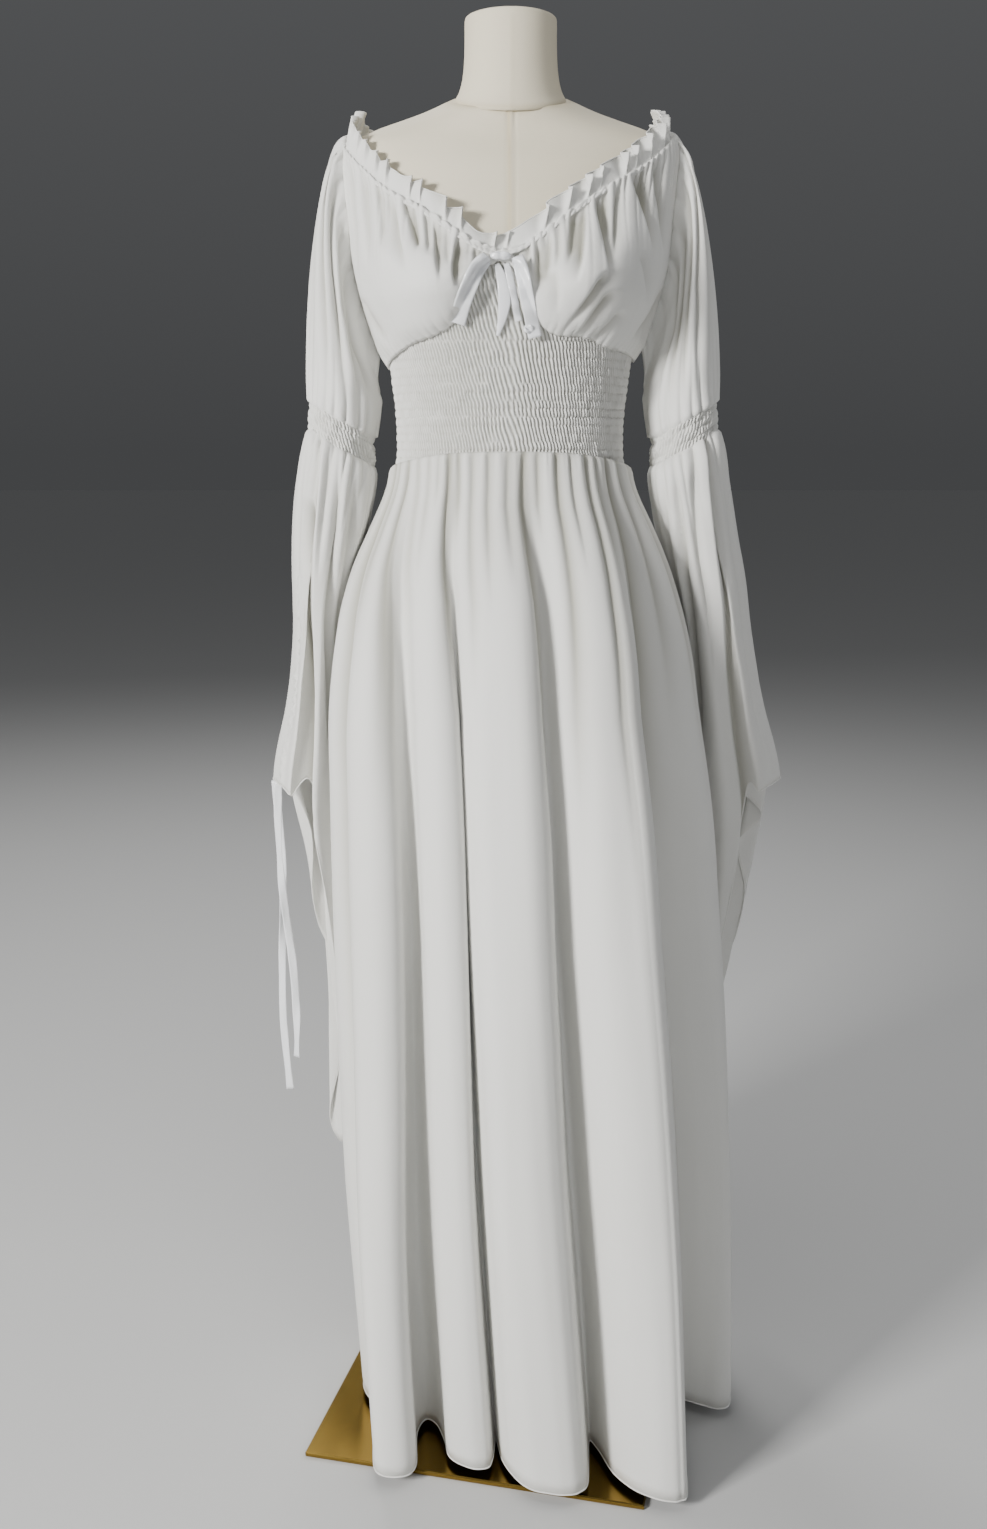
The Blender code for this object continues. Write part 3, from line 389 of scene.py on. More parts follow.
def blouse(degrees, height):
    """How far the bodice's outer side stands off the form."""
    low = seam_height(UNDERBUST_SEAM, degrees)
    rise = (height - low) / (seam_height(NECKLINE, degrees) - low)
    from_middle = np.abs(wrapped(degrees - FRONT_MIDDLE * np.cos(np.radians(degrees))))
    depth = along(BLOUSE_DEPTH, "angle", "depth", from_middle)
    return SMOCKED_CLOTH + FORM_CLEARANCE + depth * along(BLOUSE, "rise", "share", rise)


def bodice_point(degrees, height):
    """A point of the bodice's outer side."""
    return body_point(degrees, height, blouse(degrees, height))


# Meshes

def add_object(name, data):
    """A new object in the scene."""
    obj = bpy.data.objects.new(name, data)
    bpy.context.scene.collection.objects.link(obj)
    return obj


def put_mesh(name, points, faces, uvs, edge_tone_and_seam_shade, shade, caps):
    """A mesh object from flat arrays; uvs has one pair for each corner of the faces, and a cap is one
    flat face with many corners. Of the two values per point, from 0 to 1, the first gives the edge colour:
    the creamy tone of hems, and on the form painted shade by its seams. The second, shade, is painted
    shade in folds and valleys."""
    corners = np.concatenate([faces.ravel(), *caps]).astype(np.int32)
    sizes = [faces.shape[1]] * len(faces) + [len(cap) for cap in caps]
    mesh = bpy.data.meshes.new(name)
    mesh.vertices.add(len(points))
    mesh.vertices.foreach_set("co", points.astype(np.float32).ravel())
    mesh.loops.add(len(corners))
    mesh.loops.foreach_set("vertex_index", corners)
    mesh.polygons.add(len(sizes))
    mesh.polygons.foreach_set("loop_start", (np.cumsum(sizes) - sizes).astype(np.int32))
    mesh.update(calc_edges=True)
    pairs = np.zeros((len(corners), 2), np.float32)
    pairs[:faces.size] = uvs.reshape(-1, 2)
    mesh.uv_layers.new(name="cloth_uv").data.foreach_set("uv", pairs.ravel())
    for label, values in (("edge_tone_seam_shade", edge_tone_and_seam_shade), ("fold_shade", shade)):
        layer = mesh.attributes.new(label, "FLOAT", "POINT")
        values = np.zeros(len(points)) if values is None else values
        layer.data.foreach_set("value", np.clip(values, 0, 1).astype(np.float32).ravel())
    mesh.validate()
    mesh.shade_smooth()
    return add_object(name, mesh)


def normals(points, closed=False, flip=False):
    """Outward directions of a grid: the cross product of its steps down and its steps across."""
    if closed:
        across = np.roll(points, -1, axis=1) - np.roll(points, 1, axis=1)
    else:
        across = np.gradient(points, axis=1)
    out = np.cross(np.gradient(points, axis=0), across)
    out = out / np.maximum(np.linalg.norm(out, axis=-1, keepdims=True), 1e-12)
    return -out if flip else out


def lengths(points, closed):
    """Distances in metres along a grid, round its columns and down its rows, each as the grid's average."""
    ring = np.concatenate([points, points[:, :1]], axis=1) if closed else points
    round_it = np.linalg.norm(np.diff(ring, axis=1), axis=2).mean(axis=0)
    down_it = np.linalg.norm(np.diff(points, axis=0), axis=2).mean(axis=1)
    return (np.concatenate([[0.0], np.cumsum(values)]) for values in (round_it, down_it))


def put_grid(name, points, closed=True, flip=False, ends="joined", edge_tone_and_seam_shade=None, shade=None):
    """A grid of points as a mesh, with the distances along it as its UVs. A closed grid runs round. Its
    end rows stay open, or the last is joined to the first, or flat caps close them. Rows run downwards
    where columns run from the front towards +X, and flip is for the other way round."""
    rows, across = points.shape[:2]
    loop = np.concatenate([points, points[:1]]) if ends == "joined" else points
    r, c = np.meshgrid(np.arange(len(loop) - 1), np.arange(across if closed else across - 1), indexing="ij")
    rr = np.stack([r, r + 1, r + 1, r], -1).reshape(-1, 4)
    cc = np.stack([c, c, c + 1, c + 1], -1).reshape(-1, 4)
    if flip:
        rr, cc = rr[:, ::-1], cc[:, ::-1]
    u, v = lengths(loop, closed)
    uvs = np.stack([u[cc], v[rr]], axis=-1)
    ring = np.arange(across)
    caps = (ring, ((rows - 1) * across + ring)[::-1]) if ends == "capped" else ()
    return put_mesh(name, points.reshape(-1, 3), (rr % rows) * across + cc % across, uvs, edge_tone_and_seam_shade, shade, caps)


def cloth(name, points, closed=False, flip=False, thickness=CLOTH, edge_tone_and_seam_shade=None, shade=None):
    """A wall of cloth from a grid of outer points, with its thickness on the inner side."""
    obj = put_grid(name, points, closed, flip, "open", edge_tone_and_seam_shade, shade)
    solidify = obj.modifiers.new("Thickness", "SOLIDIFY")
    solidify.thickness = thickness
    solidify.offset = -1.0
    return obj


def lined_tube(name, outer, inner, flip=False, shade=None):
    """A closed tube: a detailed outer grid over an inner one with the same number of columns."""
    shades = np.concatenate([shade, np.zeros(inner.shape[:2])])
    return put_grid(name, np.concatenate([outer, inner[::-1]]), flip=flip, shade=shades)


def rounded_strand(name, path, radius, closed=False, sides=8):
    """A round profile carried along a path: each ring is the path's point plus radius times the
    cosine and the sine of the profile's angle along two directions square to the path."""
    ahead = np.roll(path, -1, 0) - np.roll(path, 1, 0) if closed else np.gradient(path, axis=0)
    ahead = ahead / np.linalg.norm(ahead, axis=1, keepdims=True)
    side = np.cross(ahead, np.array([0.0, 0.0, 1.0]))
    weak = np.linalg.norm(side, axis=1, keepdims=True) < 0.05
    side = np.where(weak, np.cross(ahead, np.array([0.0, 1.0, 0.0])), side)
    side = side / np.linalg.norm(side, axis=1, keepdims=True)
    up = np.cross(side, ahead)
    turn = ring_turns(sides)[:, None]
    rings = path[:, None] + radius * (side[:, None] * np.cos(turn) + up[:, None] * np.sin(turn))
    return put_grid(name, rings, ends="joined" if closed else "capped")


def ride(obj, material, slot, *nodes):
    """Gives a piece its material and lets it stand for its CAD nodes."""
    obj.data.materials.append(material)
    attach(obj, "root")
    if nodes:
        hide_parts(*nodes)
    return obj


# Materials

def feed(tree, node, inputs):
    """Links sockets to a node's inputs, or sets their values, by the inputs' names or numbers."""
    for label, value in inputs.items():
        if isinstance(value, bpy.types.NodeSocket):
            tree.links.new(value, node.inputs[label])
        else:
            node.inputs[label].default_value = value


def shader_node(tree, kind, inputs=None, **settings):
    """A shader node with its settings and inputs; returns its outputs."""
    node = tree.nodes.new("ShaderNode" + kind)
    for label, value in settings.items():
        setattr(node, label, value)
    feed(tree, node, inputs or {})
    return node.outputs


def maths(tree, operation, *inputs):
    """A Math node whose inputs are sockets or numbers; returns its output."""
    return shader_node(tree, "Math", dict(enumerate(inputs)), operation=operation)[0]


def stretched(tree, vector, factors):
    """A vector whose three parts are multiplied by factors."""
    return shader_node(tree, "VectorMath", {0: vector, 1: factors}, operation="MULTIPLY")[0]


def noise(tree, vector, scale, detail, roughness=0.5):
    """The value of a noise texture."""
    inputs = {"Vector": vector, "Scale": scale, "Detail": detail, "Roughness": roughness}
    return shader_node(tree, "TexNoise", inputs)["Fac"]


def bump(tree, height, strength, distance, normal=None):
    """The normal that a height gives, on top of another normal."""
    inputs = {"Height": height, "Strength": strength, "Distance": distance}
    if normal is not None:
        inputs["Normal"] = normal
    return shader_node(tree, "Bump", inputs)[0]


def mix_colours(tree, factor, first, second):
    """A Mix node between two colours, each a socket or a colour; returns its output."""
    ends = [end if isinstance(end, bpy.types.NodeSocket) else (*end, 1.0) for end in (first, second)]
    return shader_node(tree, "Mix", {0: factor, 6: ends[0], 7: ends[1]}, data_type="RGBA")[2]


def new_group(name, inputs, outputs):
    """A shader node group with named sockets, whose inputs have their first values. Returns its tree,
    the sockets that it is given and the node that takes its results."""
    tree = bpy.data.node_groups.new(name, "ShaderNodeTree")
    tree.interface.new_socket(name="Vector", in_out="INPUT", socket_type="NodeSocketVector")
    for label, value in inputs.items():
        socket = tree.interface.new_socket(name=label, in_out="INPUT", socket_type="NodeSocketFloat")
        socket.default_value = value
    for label in outputs:
        tree.interface.new_socket(name=label, in_out="OUTPUT", socket_type="NodeSocketFloat")
    return tree, tree.nodes.new("NodeGroupInput").outputs, tree.nodes.new("NodeGroupOutput")


def make_weave_group():
    """Plain weave: the product of two sines across and along the cloth, with slubs from stretched noise.
    Its height is 0 to 1, and its tone is a darker value between the threads."""
    inputs = {"Threads per metre": 2200.0, "Slub": 0.4}
    tree, given, result = new_group("plain_weave", inputs, ["Height", "Tone"])
    parts = shader_node(tree, "SeparateXYZ", {0: given["Vector"]})
    turns = maths(tree, "MULTIPLY", given["Threads per metre"], math.pi)
    across, down = (maths(tree, "SINE", maths(tree, "MULTIPLY", parts[i], turns)) for i in (0, 1))
    threads = maths(tree, "MULTIPLY_ADD", maths(tree, "MULTIPLY", across, down), 0.5, 0.5)
    slubs = noise(tree, stretched(tree, given["Vector"], (60.0, 900.0, 60.0)), 1.0, 2.0)
    feed(tree, result, {
        "Height": maths(tree, "ADD", threads, maths(tree, "MULTIPLY", slubs, given["Slub"])),
        "Tone": maths(tree, "MULTIPLY_ADD", threads, 0.5, 0.5)})
    return tree


def make_crinkle_group():
    """Fine crinkle of crepe: a noise of one size, and a slow noise for uneven whiteness."""
    tree, given, result = new_group("crepe_crinkle", {"Size": 0.004}, ["Height", "Cloud"])
    scale = maths(tree, "DIVIDE", 1.0, given["Size"])
    feed(tree, result, {
        "Height": noise(tree, given["Vector"], scale, 3.0, 0.6),
        "Cloud": noise(tree, given["Vector"], 7.0, 3.0)})
    return tree


weave_group = make_weave_group()
crinkle_group = make_crinkle_group()


def new_material(name):
    """A material with its tree and its shader."""
    material = bpy.data.materials.new(name)
    material.use_nodes = True
    return material, material.node_tree, material.node_tree.nodes["Principled BSDF"]


def woven_material(name, light, shade, edge, deep, threads, slub, thread_depth, crinkle, crinkle_depth,
                   roughness, sheen):
    """Woven cloth: weave and crinkle as bumps and clouds between two tones. By attribute it takes an edge
    colour, the creamy tone of hems and on the form painted shade by its seams, and painted shade: the
    deep colour mixed into folds and valleys by the fold_shade attribute."""
    material, tree, shader = new_material(name)
    uv = shader_node(tree, "UVMap", uv_map="cloth_uv")[0]
    weave = shader_node(tree, "Group", {"Vector": uv, "Threads per metre": threads, "Slub": slub},
                        node_tree=weave_group)
    wrinkle = shader_node(tree, "Group", {"Vector": uv, "Size": crinkle}, node_tree=crinkle_group)
    edges, folds = (shader_node(tree, "Attribute", attribute_name=attribute)["Fac"]
                    for attribute in ("edge_tone_seam_shade", "fold_shade"))
    clouds = mix_colours(tree, wrinkle["Cloud"], light, shade)
    woven = mix_colours(tree, maths(tree, "MULTIPLY_ADD", weave["Tone"], -0.35, 0.35), clouds, shade)
    crinkled = bump(tree, wrinkle["Height"], 0.7, crinkle_depth)
    feed(tree, shader, {
        # Base colour: the deep colour is painted shade, mixed in where fold_shade marks folds and valleys
        "Base Color": mix_colours(tree, folds, mix_colours(tree, edges, woven, edge), deep),
        "Roughness": maths(tree, "MULTIPLY_ADD", weave["Height"], -0.06, roughness),
        "Normal": bump(tree, weave["Height"], 0.6, thread_depth, crinkled),
        "Sheen Weight": sheen, "Sheen Roughness": 0.5, "Specular IOR Level": 0.25})
    return material


def satin_material():
    """Satin ribbon: smooth and glossy, with fine threads along it from a stretched noise."""
    material, tree, shader = new_material("white_satin")
    uv = shader_node(tree, "UVMap", uv_map="cloth_uv")[0]
    threads = noise(tree, stretched(tree, uv, (4000.0, 60.0, 60.0)), 1.0, 1.0)
    feed(tree, shader, {
        "Base Color": mix_colours(tree, threads, (0.840, 0.850, 0.870), (0.760, 0.775, 0.800)),
        "Roughness": maths(tree, "MULTIPLY_ADD", threads, 0.10, 0.20),
        "Normal": bump(tree, threads, 0.3, 0.00004),
        "Sheen Weight": 0.1, "Specular IOR Level": 0.8})
    return material


def brass_material():
    """Polished brass: a golden metal with a faint haze of wiping and fine lines on Object coordinates."""
    material, tree, shader = new_material("polished_brass")
    place = shader_node(tree, "TexCoord")["Object"]
    haze = noise(tree, place, 9.0, 4.0)
    lines = noise(tree, stretched(tree, place, (14.0, 1400.0, 14.0)), 1.0, 2.0)
    feed(tree, shader, {
        "Base Color": mix_colours(tree, haze, (0.310, 0.200, 0.046), (0.225, 0.142, 0.031)),
        "Roughness": maths(tree, "MULTIPLY_ADD", haze, 0.20, 0.12),
        "Normal": bump(tree, lines, 0.25, 0.00002),
        "Metallic": 1.0})
    return material


# deep is the colour of painted shade in folds and valleys, mixed in by the fold_shade attribute
white_crepe = woven_material(
    "white_crepe", light=(0.752, 0.750, 0.724), shade=(0.715, 0.711, 0.680), edge=(0.745, 0.725, 0.660),
    deep=(0.360, 0.352, 0.300), threads=2400.0, slub=0.4, thread_depth=0.00006, crinkle=0.0060,
    crinkle_depth=0.00030, roughness=0.86, sheen=0.08)
# The linen's edge colour is painted shade beside the form's raised seam and in its neck seam's groove
cream_linen = woven_material(
    "cream_linen", light=(0.700, 0.645, 0.510), shade=(0.650, 0.592, 0.455), edge=(0.470, 0.395, 0.250),
    deep=(0.400, 0.360, 0.270), threads=1150.0, slub=0.8, thread_depth=0.00012, crinkle=0.010,
    crinkle_depth=0.00015, roughness=0.92, sheen=0.05)
white_satin = satin_material()
polished_brass = brass_material()


# Dress form and stand

END_RINGS = np.array([0.92, 0.6, 0.25, 0.01])


def tilted(points):
    """Points of the form with the neck seam lower at the front and higher at the back."""
    moved = points.copy()
    height, y = points[..., 2], points[..., 1]
    front, back = (along(NECK_TILT, "height", name, height) for name in ("front", "back"))
    moved[..., 2] = height + np.where(y < 0, front, back) * y
    return moved


def put_form_part(node, rings, edge_tone_and_seam_shade):
    """A part of the form, whose ends are rounded off by small rings that shrink towards their middle."""
    first, last = (ring.mean(axis=0) + (ring - ring.mean(axis=0)) * END_RINGS[:, None, None]
                   for ring in (rings[0], rings[-1]))
    body = np.concatenate([first[::-1], rings, last])
    # The seam values are painted shade by the form's seams; the small end rings get none
    seam_shades = np.zeros(body.shape[:2])
    seam_shades[len(END_RINGS):-len(END_RINGS)] = edge_tone_and_seam_shade
    obj = put_grid(node + "_cover", body, ends="capped", edge_tone_and_seam_shade=seam_shades)
    ride(obj, cream_linen, "cream_linen", node)


def make_form():
    """Torso and neck block: smooth rings, with a raised seam down the front and back middles
    and a soft groove where the neck's cover meets the torso's, with painted shade in the groove and in a
    thin line beside the torso's raised seam."""
    across = 256
    angles = (np.arange(across) + 0.5) * 360 / across
    angles = angles - 16.0 * np.sin(2 * np.radians(angles))
    heights = np.concatenate([np.linspace(1.4437, 1.36, 30)[:-1], np.linspace(1.36, 0.84, 34)])[:, None]
    points = body_point(angles, np.repeat(heights, across, 1), 0.0, FORM_BUST)
    x = points[..., 0]
    edge = bell(heights - 1.4437, 0.0025)
    seam = bell(x, 0.0020) - 0.6 * bell(np.abs(x) - 0.0036, 0.0016)
    points = points + normals(points, closed=True) * (0.0009 * seam * (1 - edge) - 0.0005 * edge)[..., None]
    # Painted shade: a thin line beside the raised seam and a band in the neck seam's groove
    put_form_part("form_torso", tilted(points), 0.75 * bell(x + 0.0022, 0.0018) * (1 - edge) + 0.55 * edge)

    turn = ring_turns(120)
    height = np.concatenate([[1.4405], np.linspace(NECK_SEAM, 1.4780, 22)[:-1],
                             np.linspace(1.4780, 1.5140, 10)[:-1], np.linspace(1.5140, 1.5196, 10)])
    height = height[::-1, None]
    edge = bell(height - NECK_SEAM, 0.0020)
    radius = along(NECK, "height", "radius", height) - 0.0003 * edge
    rings = np.stack([radius * np.sin(turn), -radius * np.cos(turn), height + 0 * turn], -1)
    seam = bell(rings[..., 0], 0.0020) * (height < 1.5140)
    rings = rings + normals(rings, closed=True) * (0.0004 * seam)[..., None]
    # Painted shade in the neck seam's groove, and a faint darker line along the neck's raised seam
    put_form_part("form_neck", tilted(rings), 0.10 * seam + 0.40 * edge)


def finish_stand():
    """The plate and the pole keep their solids and get the brass."""
    for node in ("stand_base", "stand_pole"):
        materials = bpy.data.objects[node].data.materials
        materials.clear()
        materials.append(polished_brass)


# Midriff

def smocking(turns, rise, gathers, rows, seed):
    """Height of shirred cloth from 0 to 1: short ridges with sharp valleys between the elastic rows.
    The ridges slant, jump sideways from row to row and are pinched at each row. turns and rise run
    from 0 to 1."""
    band = rise * rows
    row = np.floor(band)
    jump = 0.5 * (row % 2) + 0.25 * wander(seed + 1, row * 1.37)
    slide = 0.16 * uneven(seed, turns * 64, row) + 0.10 * uneven(seed + 3, turns * 128, band, 128)
    slant = 0.55 * (band - row - 0.5)
    size = 0.88 + 0.16 * uneven(seed + 2, turns * 128, row, 128)
    pinch = np.abs(np.sin(np.pi * band)) ** 0.5
    ridge = (0.5 - 0.5 * np.cos(2 * np.pi * (turns * gathers + jump + slide + slant))) ** 0.6
    return np.clip((0.66 + 0.34 * pinch) * ridge * size, 0.0, 1.2)


def make_midriff():
    """The shirred band lies on the form: its outer side is the form's outline plus a clearance and the
    height of the smocking, and its inner side is a few plain rings."""
    across, rows = 1296, 70
    angles = np.degrees(ring_turns(across))
    low = seam_height(WAIST_SEAM, angles) - 0.003
    high = seam_height(UNDERBUST_SEAM, angles) + 0.003
    height = low + np.linspace(1, 0, rows)[:, None] * (high - low)
    level = (height - SMOCKED_FROM) / (SMOCKED_TO - SMOCKED_FROM)
    relief = smocking(np.broadcast_to(angles / 360, height.shape), level, gathers=206, rows=16.0, seed=11)
    outer = body_point(angles, height, FORM_CLEARANCE + 0.0006 + SMOCKED_RELIEF * relief)
    inner = body_point(angles, height[[0, rows // 4, rows // 2, 3 * rows // 4, rows - 1]], FORM_CLEARANCE)
    obj = lined_tube("midriff_smocking", outer, inner, shade=(1 - relief) ** 1.8)
    ride(obj, white_crepe, "white_cloth", "midriff")


# Bodice

PANEL_RISE = np.array([0.0, 0.09, 0.24, 0.40, 0.56, 0.72, 0.87, 1.0])

# Folds that hang from the neckline: (share of the rise, angle) points from the top down, depth, width,
# and which flank is wide
LEFT_FOLDS = [
    ([(1.02, -44.0), (0.43, -34.5)], 0.0046, 2.2, -0.6),
    ([(1.02, -38.0), (0.63, -29.0)], 0.0050, 1.9, 0.5),
    ([(1.02, -33.6), (0.60, -31.0)], 0.0036, 1.5, -0.4),
    ([(1.02, -29.0), (0.62, -26.5)], 0.0044, 1.6, 0.5),
    ([(1.02, -25.5), (0.36, -22.0)], 0.0056, 1.8, 0.6),
    ([(1.02, -21.0), (0.55, -19.5)], 0.0036, 1.4, -0.4),
    ([(1.02, -16.4), (0.62, -17.4), (0.27, -17.0), (0.04, -14.0)], 0.0080, 2.2, 0.7),
    ([(1.02, -10.8), (0.25, -10.4)], 0.0042, 1.5, 0.4),
    ([(1.02, -7.0), (0.45, -7.2)], 0.0036, 1.2, 0.0),
    ([(1.02, -59.0), (0.45, -58.5)], 0.0040, 3.0, 0.4),
    ([(1.02, -50.5), (0.56, -46.0)], 0.0040, 2.2, 0.5),
    ([(1.02, -68.0), (0.34, -70.0)], 0.0040, 3.2, -0.4),
    ([(0.34, -80.0), (0.02, -58.0)], 0.0040, 6.0, 0.3),
]
RIGHT_FOLDS = [
    ([(1.02, 1.0), (0.10, 1.5)], 0.0044, 1.4, 0.4),
    ([(1.02, 4.6), (0.30, 4.4)], 0.0040, 1.2, -0.3),
    ([(1.00, 7.6), (0.12, 7.0)], 0.0060, 1.7, 0.5),
    ([(1.00, 11.5), (0.40, 8.8)], 0.0046, 1.5, 0.0),
    ([(1.02, 15.0), (0.55, 13.0)], 0.0040, 1.5, 0.3),
    ([(1.02, 19.5), (0.56, 17.0)], 0.0060, 1.9, 0.5),
    ([(1.02, 24.0), (0.36, 19.6)], 0.0068, 1.8, -0.6),
    ([(1.02, 27.5), (0.32, 33.0)], 0.0062, 2.0, 0.6),
    ([(1.02, 30.5), (0.64, 31.5)], 0.0044, 1.6, 0.0),
    ([(1.02, 36.5), (0.52, 34.0)], 0.0054, 1.9, 0.5),
    ([(1.02, 41.0), (0.80, 49.0), (0.44, 58.0)], 0.0064, 2.6, 0.7),
    ([(1.02, 52.5), (0.75, 60.0), (0.44, 67.0)], 0.0052, 2.8, 0.5),
    ([(1.02, 47.0), (0.70, 52.5)], 0.0040, 1.9, 0.0),
    ([(0.46, 31.0), (0.20, 24.5), (0.00, 18.5)], 0.0060, 3.2, 0.6),
    ([(0.32, 35.0), (0.12, 29.5), (-0.06, 25.0)], 0.0048, 2.8, 0.5),
    ([(0.20, 43.0), (-0.04, 34.0)], 0.0040, 3.0, 0.3),
    ([(0.34, 76.0), (0.02, 58.0)], 0.0046, 5.0, 0.5),
    ([(0.60, 12.0), (0.10, 15.0)], 0.0032, 2.6, -0.4),
    ([(0.55, 45.5), (0.24, 60.0)], 0.0030, 3.4, 0.4),
]
BACK_FOLDS = [
    ([(1.02, 180.0 + a), (0.95 - reach, 180.0 + a * 0.93)], 1.4 * depth, width, lean)
    for a, reach, depth, width, lean in (
        (-72, 0.5, 0.0030, 2.8, 0.4), (-61, 0.7, 0.0036, 2.6, 0.0), (-50, 0.4, 0.0030, 2.3, 0.5),
        (-41, 0.8, 0.0038, 2.6, 0.0), (-31, 0.5, 0.0032, 2.2, -0.5), (-22, 0.7, 0.0036, 2.4, 0.5),
        (-12, 0.4, 0.0030, 2.0, 0.0), (-3, 0.8, 0.0038, 2.4, 0.4), (7, 0.5, 0.0032, 2.2, 0.0),
        (17, 0.7, 0.0036, 2.4, 0.5), (26, 0.4, 0.0030, 2.0, -0.4), (36, 0.8, 0.0038, 2.5, 0.0),
        (46, 0.5, 0.0032, 2.2, 0.4), (56, 0.7, 0.0036, 2.6, 0.0), (68, 0.5, 0.0030, 2.7, 0.4))
]
BACK_FOLDS_MIRRORED = [([(r, -a) for r, a in line], depth, width, -lean)
                       for line, depth, width, lean in BACK_FOLDS]


def side_seam(side, back, rise):
    """Angle of a bodice panel's side edge at a share of its rise: the side seam, then the raglan seam."""
    share = np.clip((rise - PANEL_RISE[1]) / (1 - PANEL_RISE[1]), 0, 1)
    turn = RAGLAN_TURN * share**1.2
    return side * (90 + turn if back else 90 - turn)


def bodice_panel(side, start, back, across, rows, folds):
    """A panel from an angle at its middle to its side seam. Fine gathers fade below the neckline, and
    the folds are grooves along lines. Returns its points and its shade."""
    rise = np.linspace(0, 1, rows)[:, None]
    share = np.linspace(0, 1, across)
    angle = start + (side_seam(side, back, rise) - start) * share
    low = seam_height(UNDERBUST_SEAM, angle[0])
    steep = np.gradient(low, np.radians(angle[0]) * 0.13)
    low = low + SEAM * np.sqrt(1 + steep**2)
    high = seam_height(NECKLINE, angle[-1]) - RUFFLE_SEAM
    points = bodice_point(angle, low + rise * (high - low))[::-1]
    angle, rise = angle[::-1], np.broadcast_to(rise[::-1], angle.shape)
    groove = grooves(angle, -rise, [([(-r, a) for r, a in line], 1.25 * depth, width, lean)
                                    for line, depth, width, lean in folds])
    wave = tubes(angle / 3.4 + 0.40 * wander(31, angle / 5.0))
    fade = np.exp(-((1 - rise) / 0.13) * (1.0 + 0.6 * wander(37, angle / 3.4)))
    foot = 0.0016 * tubes(angle / 4.2 + 0.40 * wander(41, angle / 6.0)) * np.exp(-rise / 0.07)
    soft = 0.0014 * uneven(43, angle / 9.0, rise * 5.0)
    ends = ease(np.minimum(share, 1 - share) / 0.02)
    lip = 0.0016 * bell(rise - 0.05, 0.06)
    swell = (0.0040 * wave * fade + foot + soft - groove) * ends + lip + 0.0004
    out = normals(points, flip=side < 0)
    points = points + out * swell[..., None]
    under = points[-1:] - out[-1:] * 0.0030 + np.array([0.0, 0.0, 0.0012])
    shade = (groove / 0.0085) ** 1.5 + 0.55 * (1 - wave) ** 2 * fade
    return np.concatenate([points, under]), np.concatenate([shade, shade[-1:]])


def make_bodice():
    """Two front panels that meet under the bow, and one across the back."""
    gap = np.degrees(SEAM / 2 / 0.11)
    right = bodice_panel(1, FRONT_MIDDLE + gap, False, 200, 66, RIGHT_FOLDS)
    left = bodice_panel(-1, FRONT_MIDDLE - gap, False, 190, 66, LEFT_FOLDS)
    half = bodice_panel(1, 180.0, True, 100, 48, BACK_FOLDS)
    other = bodice_panel(-1, -180.0, True, 100, 48, BACK_FOLDS_MIRRORED)
    points, shade = (np.concatenate([a[:, ::-1], b[:, 1:]], axis=1) for a, b in zip(half, other))
    back = points + np.array([0.0, SEAM, 0.0]), shade
    pieces = (("bodice_front_right", right, False, (0.22, 0.20)),
              ("bodice_front_left", left, True, (0.20, 0.19)),
              ("bodice_back", back, False, (0.50, 0.22)))
    for node, (points, shade), flip, flat in pieces:
        obj = cloth(node + "_cloth", points, flip=flip, shade=shade)
        ride(obj, white_crepe, "white_cloth", node)


def make_ruffle():
    """The ruffle stands above the neckline. Its pleats are skewed waves that grow towards the tip and
    lean over sideways, and the elastic channel at its foot is puckered and covers the panels' edges."""
    across, pleats = 1104, 48
    radians = ring_turns(across)
    angles = np.degrees(radians)
    low = seam_height(NECKLINE, angles)
    rise = np.concatenate([np.linspace(1, 0, 12), [-0.08, -0.16, -0.24]])[:, None]
    up = np.clip(rise, 0, 1)
    near_middle = bell(wrapped(angles - FRONT_MIDDLE), 9.0)
    calm = 1 - 0.6 * bell(angles - 292, 20.0)
    place = angles / 360 * pleats
    turn = 2 * np.pi * (place + 0.42 * wander(51, place, pleats))
    wave = np.sin(turn + 0.9 * np.sin(turn) + 0.4 * up)
    strength = (0.75 + 0.35 * wander(53, place, pleats)) * calm * up**0.7
    pucker = tubes(angles / 360 * 174 + 0.4 * wander(55, place * 2, pleats * 2))
    channel = bell(rise + 0.10, 0.13)
    out = 0.0024 * up + 0.0064 * strength * wave + 0.0026 * channel * (0.25 + 0.75 * pucker)
    below = low + np.minimum(rise, 0) * RUFFLE_HEIGHT
    points = body_point(angles, below, blouse(angles, below) + out)
    sine, cosine = np.sin(radians), np.cos(radians)
    sideways = 0.0052 * np.cos(turn) * up * calm
    height = RUFFLE_HEIGHT * (1 - 0.30 * near_middle) * (1 + 0.10 * wander(57, place, pleats))
    points = points + np.stack([
        cosine * sideways - sine * np.abs(sine) * 0.010 * up,
        sine * sideways + cosine * 0.004 * up,
        height * up + 0.0016 * up * np.cos(turn)], -1)
    edge_tone_and_seam_shade = 0.30 * bell(1 - rise, 0.06) + 0 * angles
    shade = 0.45 * channel * (1 - pucker) ** 1.5 + 0.60 * up * np.clip(-wave, 0, 1) * strength
    obj = cloth("neck_ruffle_cloth", points, closed=True, thickness=0.0007, edge_tone_and_seam_shade=edge_tone_and_seam_shade, shade=shade)
    ride(obj, white_crepe, "white_cloth", "neck_ruffle")
    edge = rounded_strand("neck_ruffle_edge", points[0], 0.0006, closed=True, sides=6)
    ride(edge, white_crepe, "white_cloth")


# Sleeves

